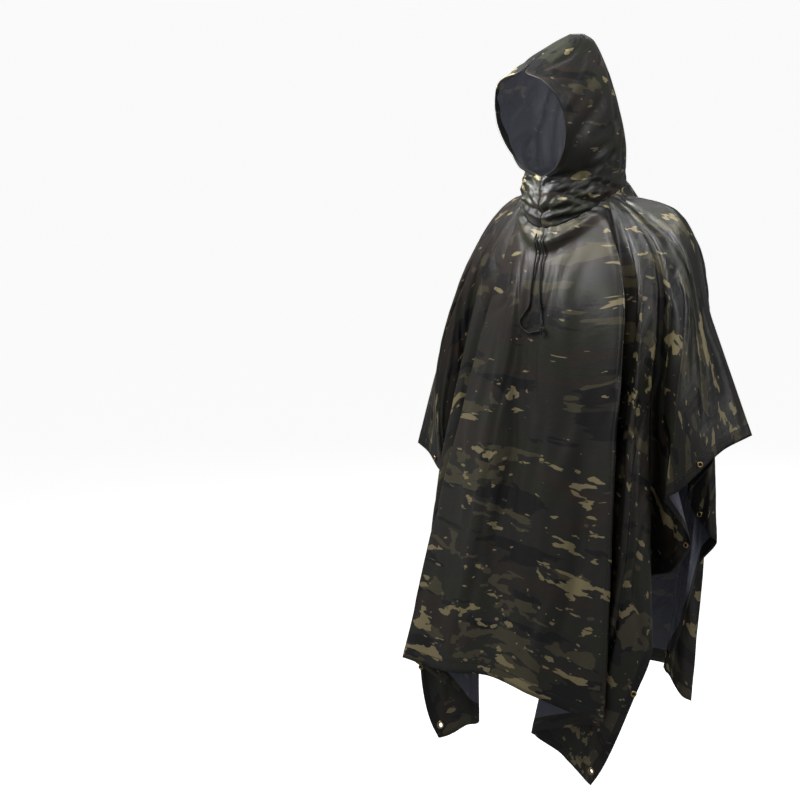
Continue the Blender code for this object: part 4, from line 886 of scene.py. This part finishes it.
for node_name in sorted(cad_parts):
    if node_name.startswith("snap_"):
        centre, axes, _ = node_place(node_name)
        # The snap's last two faces, its well, take the painted shade
        dark = np.repeat(np.arange(len(SNAP_OUTLINE) - 1) >= 7, LATHE_STEPS)
        ring = turned("ring_" + node_name, SNAP_OUTLINE, False, centre, axes, [dull_brass, well_painted_shade], dark)
    elif node_name.startswith("eyelet_"):
        centre, axes, deep = node_place(node_name)
        outline = EYELET_LIP + [(radius, deep / MM - height) for radius, height in reversed(EYELET_LIP)]
        ring = turned("rolled_" + node_name, outline, True, centre, axes, [dull_brass])
        drill = turned("drill", DRILL_OUTLINE, False, centre, axes, [])
        weld = drill.modifiers.new("weld", "WELD")
        weld.merge_threshold = 0.01 * MM
        host = body_front if "front" in node_name else body_back
        hole = host.modifiers.new("hole", "BOOLEAN")
        hole.operation, hole.solver, hole.object = "DIFFERENCE", "MANIFOLD", drill
        bpy.context.view_layer.update()
        cut_mesh = bpy.data.meshes.new_from_object(host.evaluated_get(bpy.context.evaluated_depsgraph_get()))
        host.modifiers.remove(hole)
        host.data = cut_mesh
        bpy.data.objects.remove(drill)
    else:
        continue
    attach(ring, "root")
    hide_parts(node_name)

# ---- Drawcord ----
# One braided polyester cord, 4.4 mm across. It comes out of the throat, and its two strands lie down the chest
# to the knot that ties them.
CORD_RADIUS = 2.2 * MM
# x, z, and how far each strand stands off the chest, in centimetres
CORD_LEFT = [
    (0.9, -8.9, 0.30), (1.3, -14.5, 0.30), (1.9, -20.4, 0.05), (2.4, -23.4, 0.05), (3.1, -25.4, 0.05),
    (3.9, -26.6, 0.08),
]
CORD_RIGHT = [
    (-0.5, -9.1, 0.30), (-0.4, -15.0, 0.30), (-0.7, -20.5, 0.05), (-0.8, -23.4, 0.05), (-1.8, -25.0, 0.05),
    (-2.5, -26.6, 0.05), (-1.7, -28.0, 0.05), (0.0, -28.5, 0.05), (1.8, -28.1, 0.05), (3.35, -27.8, 0.08),
]
KNOT_AT, KNOT_REACH = (4.15 * CM, -27.35 * CM), 5.0 * MM
chest = BVHTree.FromObject(body_front, bpy.context.evaluated_depsgraph_get())


def strand_route(strand):
    """A smooth curve through the table's points, each laid on the chest below it by a ray along Y."""
    knots = np.array(strand) * CM
    along = walked(knots)
    tangents = np.gradient(knots, along, axis=0)
    at = np.linspace(0, along[-1], 64)
    index = np.clip(np.searchsorted(along, at, side="right") - 1, 0, len(knots) - 2)
    step = np.diff(along)[index][:, None]
    t = (at - along[index])[:, None] / step
    route = cubic(knots[index], knots[index + 1], tangents[index] * step, tangents[index + 1] * step, t)
    return np.array([on_chest(x, z, max(stand, 0.4 * MM) + CORD_RADIUS) for x, z, stand in route])


def on_chest(x, z, stand):
    """A point that stands this far off the foremost cloth across the cord's width, found by rays along Y."""
    ahead = [
        chest.ray_cast(Vector((x + aside, -1.0, z)), Vector((0.0, 1.0, 0.0)))[0].y
        for aside in (-CORD_RADIUS, 0.0, CORD_RADIUS)
    ]
    return (x, min(ahead) - stand, z)


def braid_tube(route, radius, sides=16):
    """A tube along the route whose radius swells and dips in two crossing spirals, as a braid's strands do, with
    closed ends."""
    forward = unit(np.gradient(route, axis=0))
    right = unit(np.cross(forward, np.array([0.0, 1.0, 0.0])))
    ahead = np.cross(right, forward)
    along = walked(route)[:, None]
    turns = np.linspace(0, 2 * math.pi, sides, endpoint=False)
    girth = radius * (0.96 + 0.05 * np.cos(along * 900 + 3 * turns) * np.cos(along * 900 - 3 * turns))
    girth[[0, -1]] *= 0.55
    spread = np.cos(turns)[None, :, None] * right[:, None] + np.sin(turns)[None, :, None] * ahead[:, None]
    points = route[:, None] + spread * girth[..., None]
    count = len(route)
    index = np.arange(count * sides).reshape(count, sides)
    tip, tail = np.full(sides, count * sides), np.full(sides, count * sides + 1)
    first = np.stack([np.roll(index[0], -1), index[0], tip, tip], axis=1)
    last = np.stack([index[-1], np.roll(index[-1], -1), tail, tail], axis=1)
    faces = np.concatenate([between(index[:-1], index[1:]), first, last])
    uv = np.stack([turns / (2 * math.pi) + 0 * along, along + 0 * turns], axis=-1)
    uv = np.concatenate([uv.reshape(-1, 2), [[0.5, 0.0], [0.5, along[-1, 0]]]])
    return np.concatenate([points.reshape(-1, 3), route[[0, -1]]]), faces, uv


# Braided polyester: matt black, with the plait just showing as fine slanted ribs, a little under 1 mm apart
black_braid, braid_tree, braid_shader = new_material("black_polyester_braid")
along_cord = lay(braid_tree, "UVMap", uv_map="cut")
plait = lay(braid_tree, "Mapping", {"Vector": along_cord, "Scale": (6.0, 900.0, 1.0), "Rotation": (0, 0, 0.6)})
threads = lay(braid_tree, "TexWave", {"Vector": plait, "Scale": 0.8, "Distortion": 0.6})
ribs = lay(braid_tree, "Bump", {"Strength": 0.5, "Distance": 0.3 * MM, "Height": threads})
feed(braid_shader, {"Base Color": linear("#0b0b0b"), "Normal": ribs, "Roughness": 0.7, "Sheen Weight": 0.05})

# The knot is a trefoil curve, and the two ends of the cord leave it as short tails
knot_middle = np.array(on_chest(*KNOT_AT, KNOT_REACH + 0.8 * MM))
t = np.linspace(0, 2 * math.pi, 90)[:, None]
trefoil = np.concatenate([np.sin(t) + 2 * np.sin(2 * t), -np.sin(3 * t), np.cos(t) - 2 * np.cos(2 * t)], axis=1)
parts = [braid_tube(knot_middle + trefoil * (KNOT_REACH / 3.0) * 0.8, CORD_RADIUS * 0.9)]
for aim, reach in (((0.55, -0.05, -1.0), 14 * MM), ((-0.25, -0.10, -1.0), 11 * MM)):
    line = knot_middle + unit(np.array(aim)) * np.linspace(2 * MM, reach, 14)[:, None]
    parts.append(braid_tube(line, CORD_RADIUS * 0.92))
starts = np.cumsum([0] + [len(points) for points, _, _ in parts[:-1]])
knot = piece(
    "drawcord_knot",
    np.concatenate([points for points, _, _ in parts]),
    np.concatenate([faces + start for (_, faces, _), start in zip(parts, starts)]),
    np.concatenate([uv for _, _, uv in parts]),
    [black_braid],
)
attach(knot, "root")
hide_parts("cord_knot")
for side, strand, seen_length in (("left", CORD_LEFT, 0.19), ("right", CORD_RIGHT, 0.25)):
    route = strand_route(strand)
    line = piece(f"drawcord_{side}", *braid_tube(route, CORD_RADIUS), [black_braid])
    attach(line, "root")
    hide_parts(f"cord_{side}")
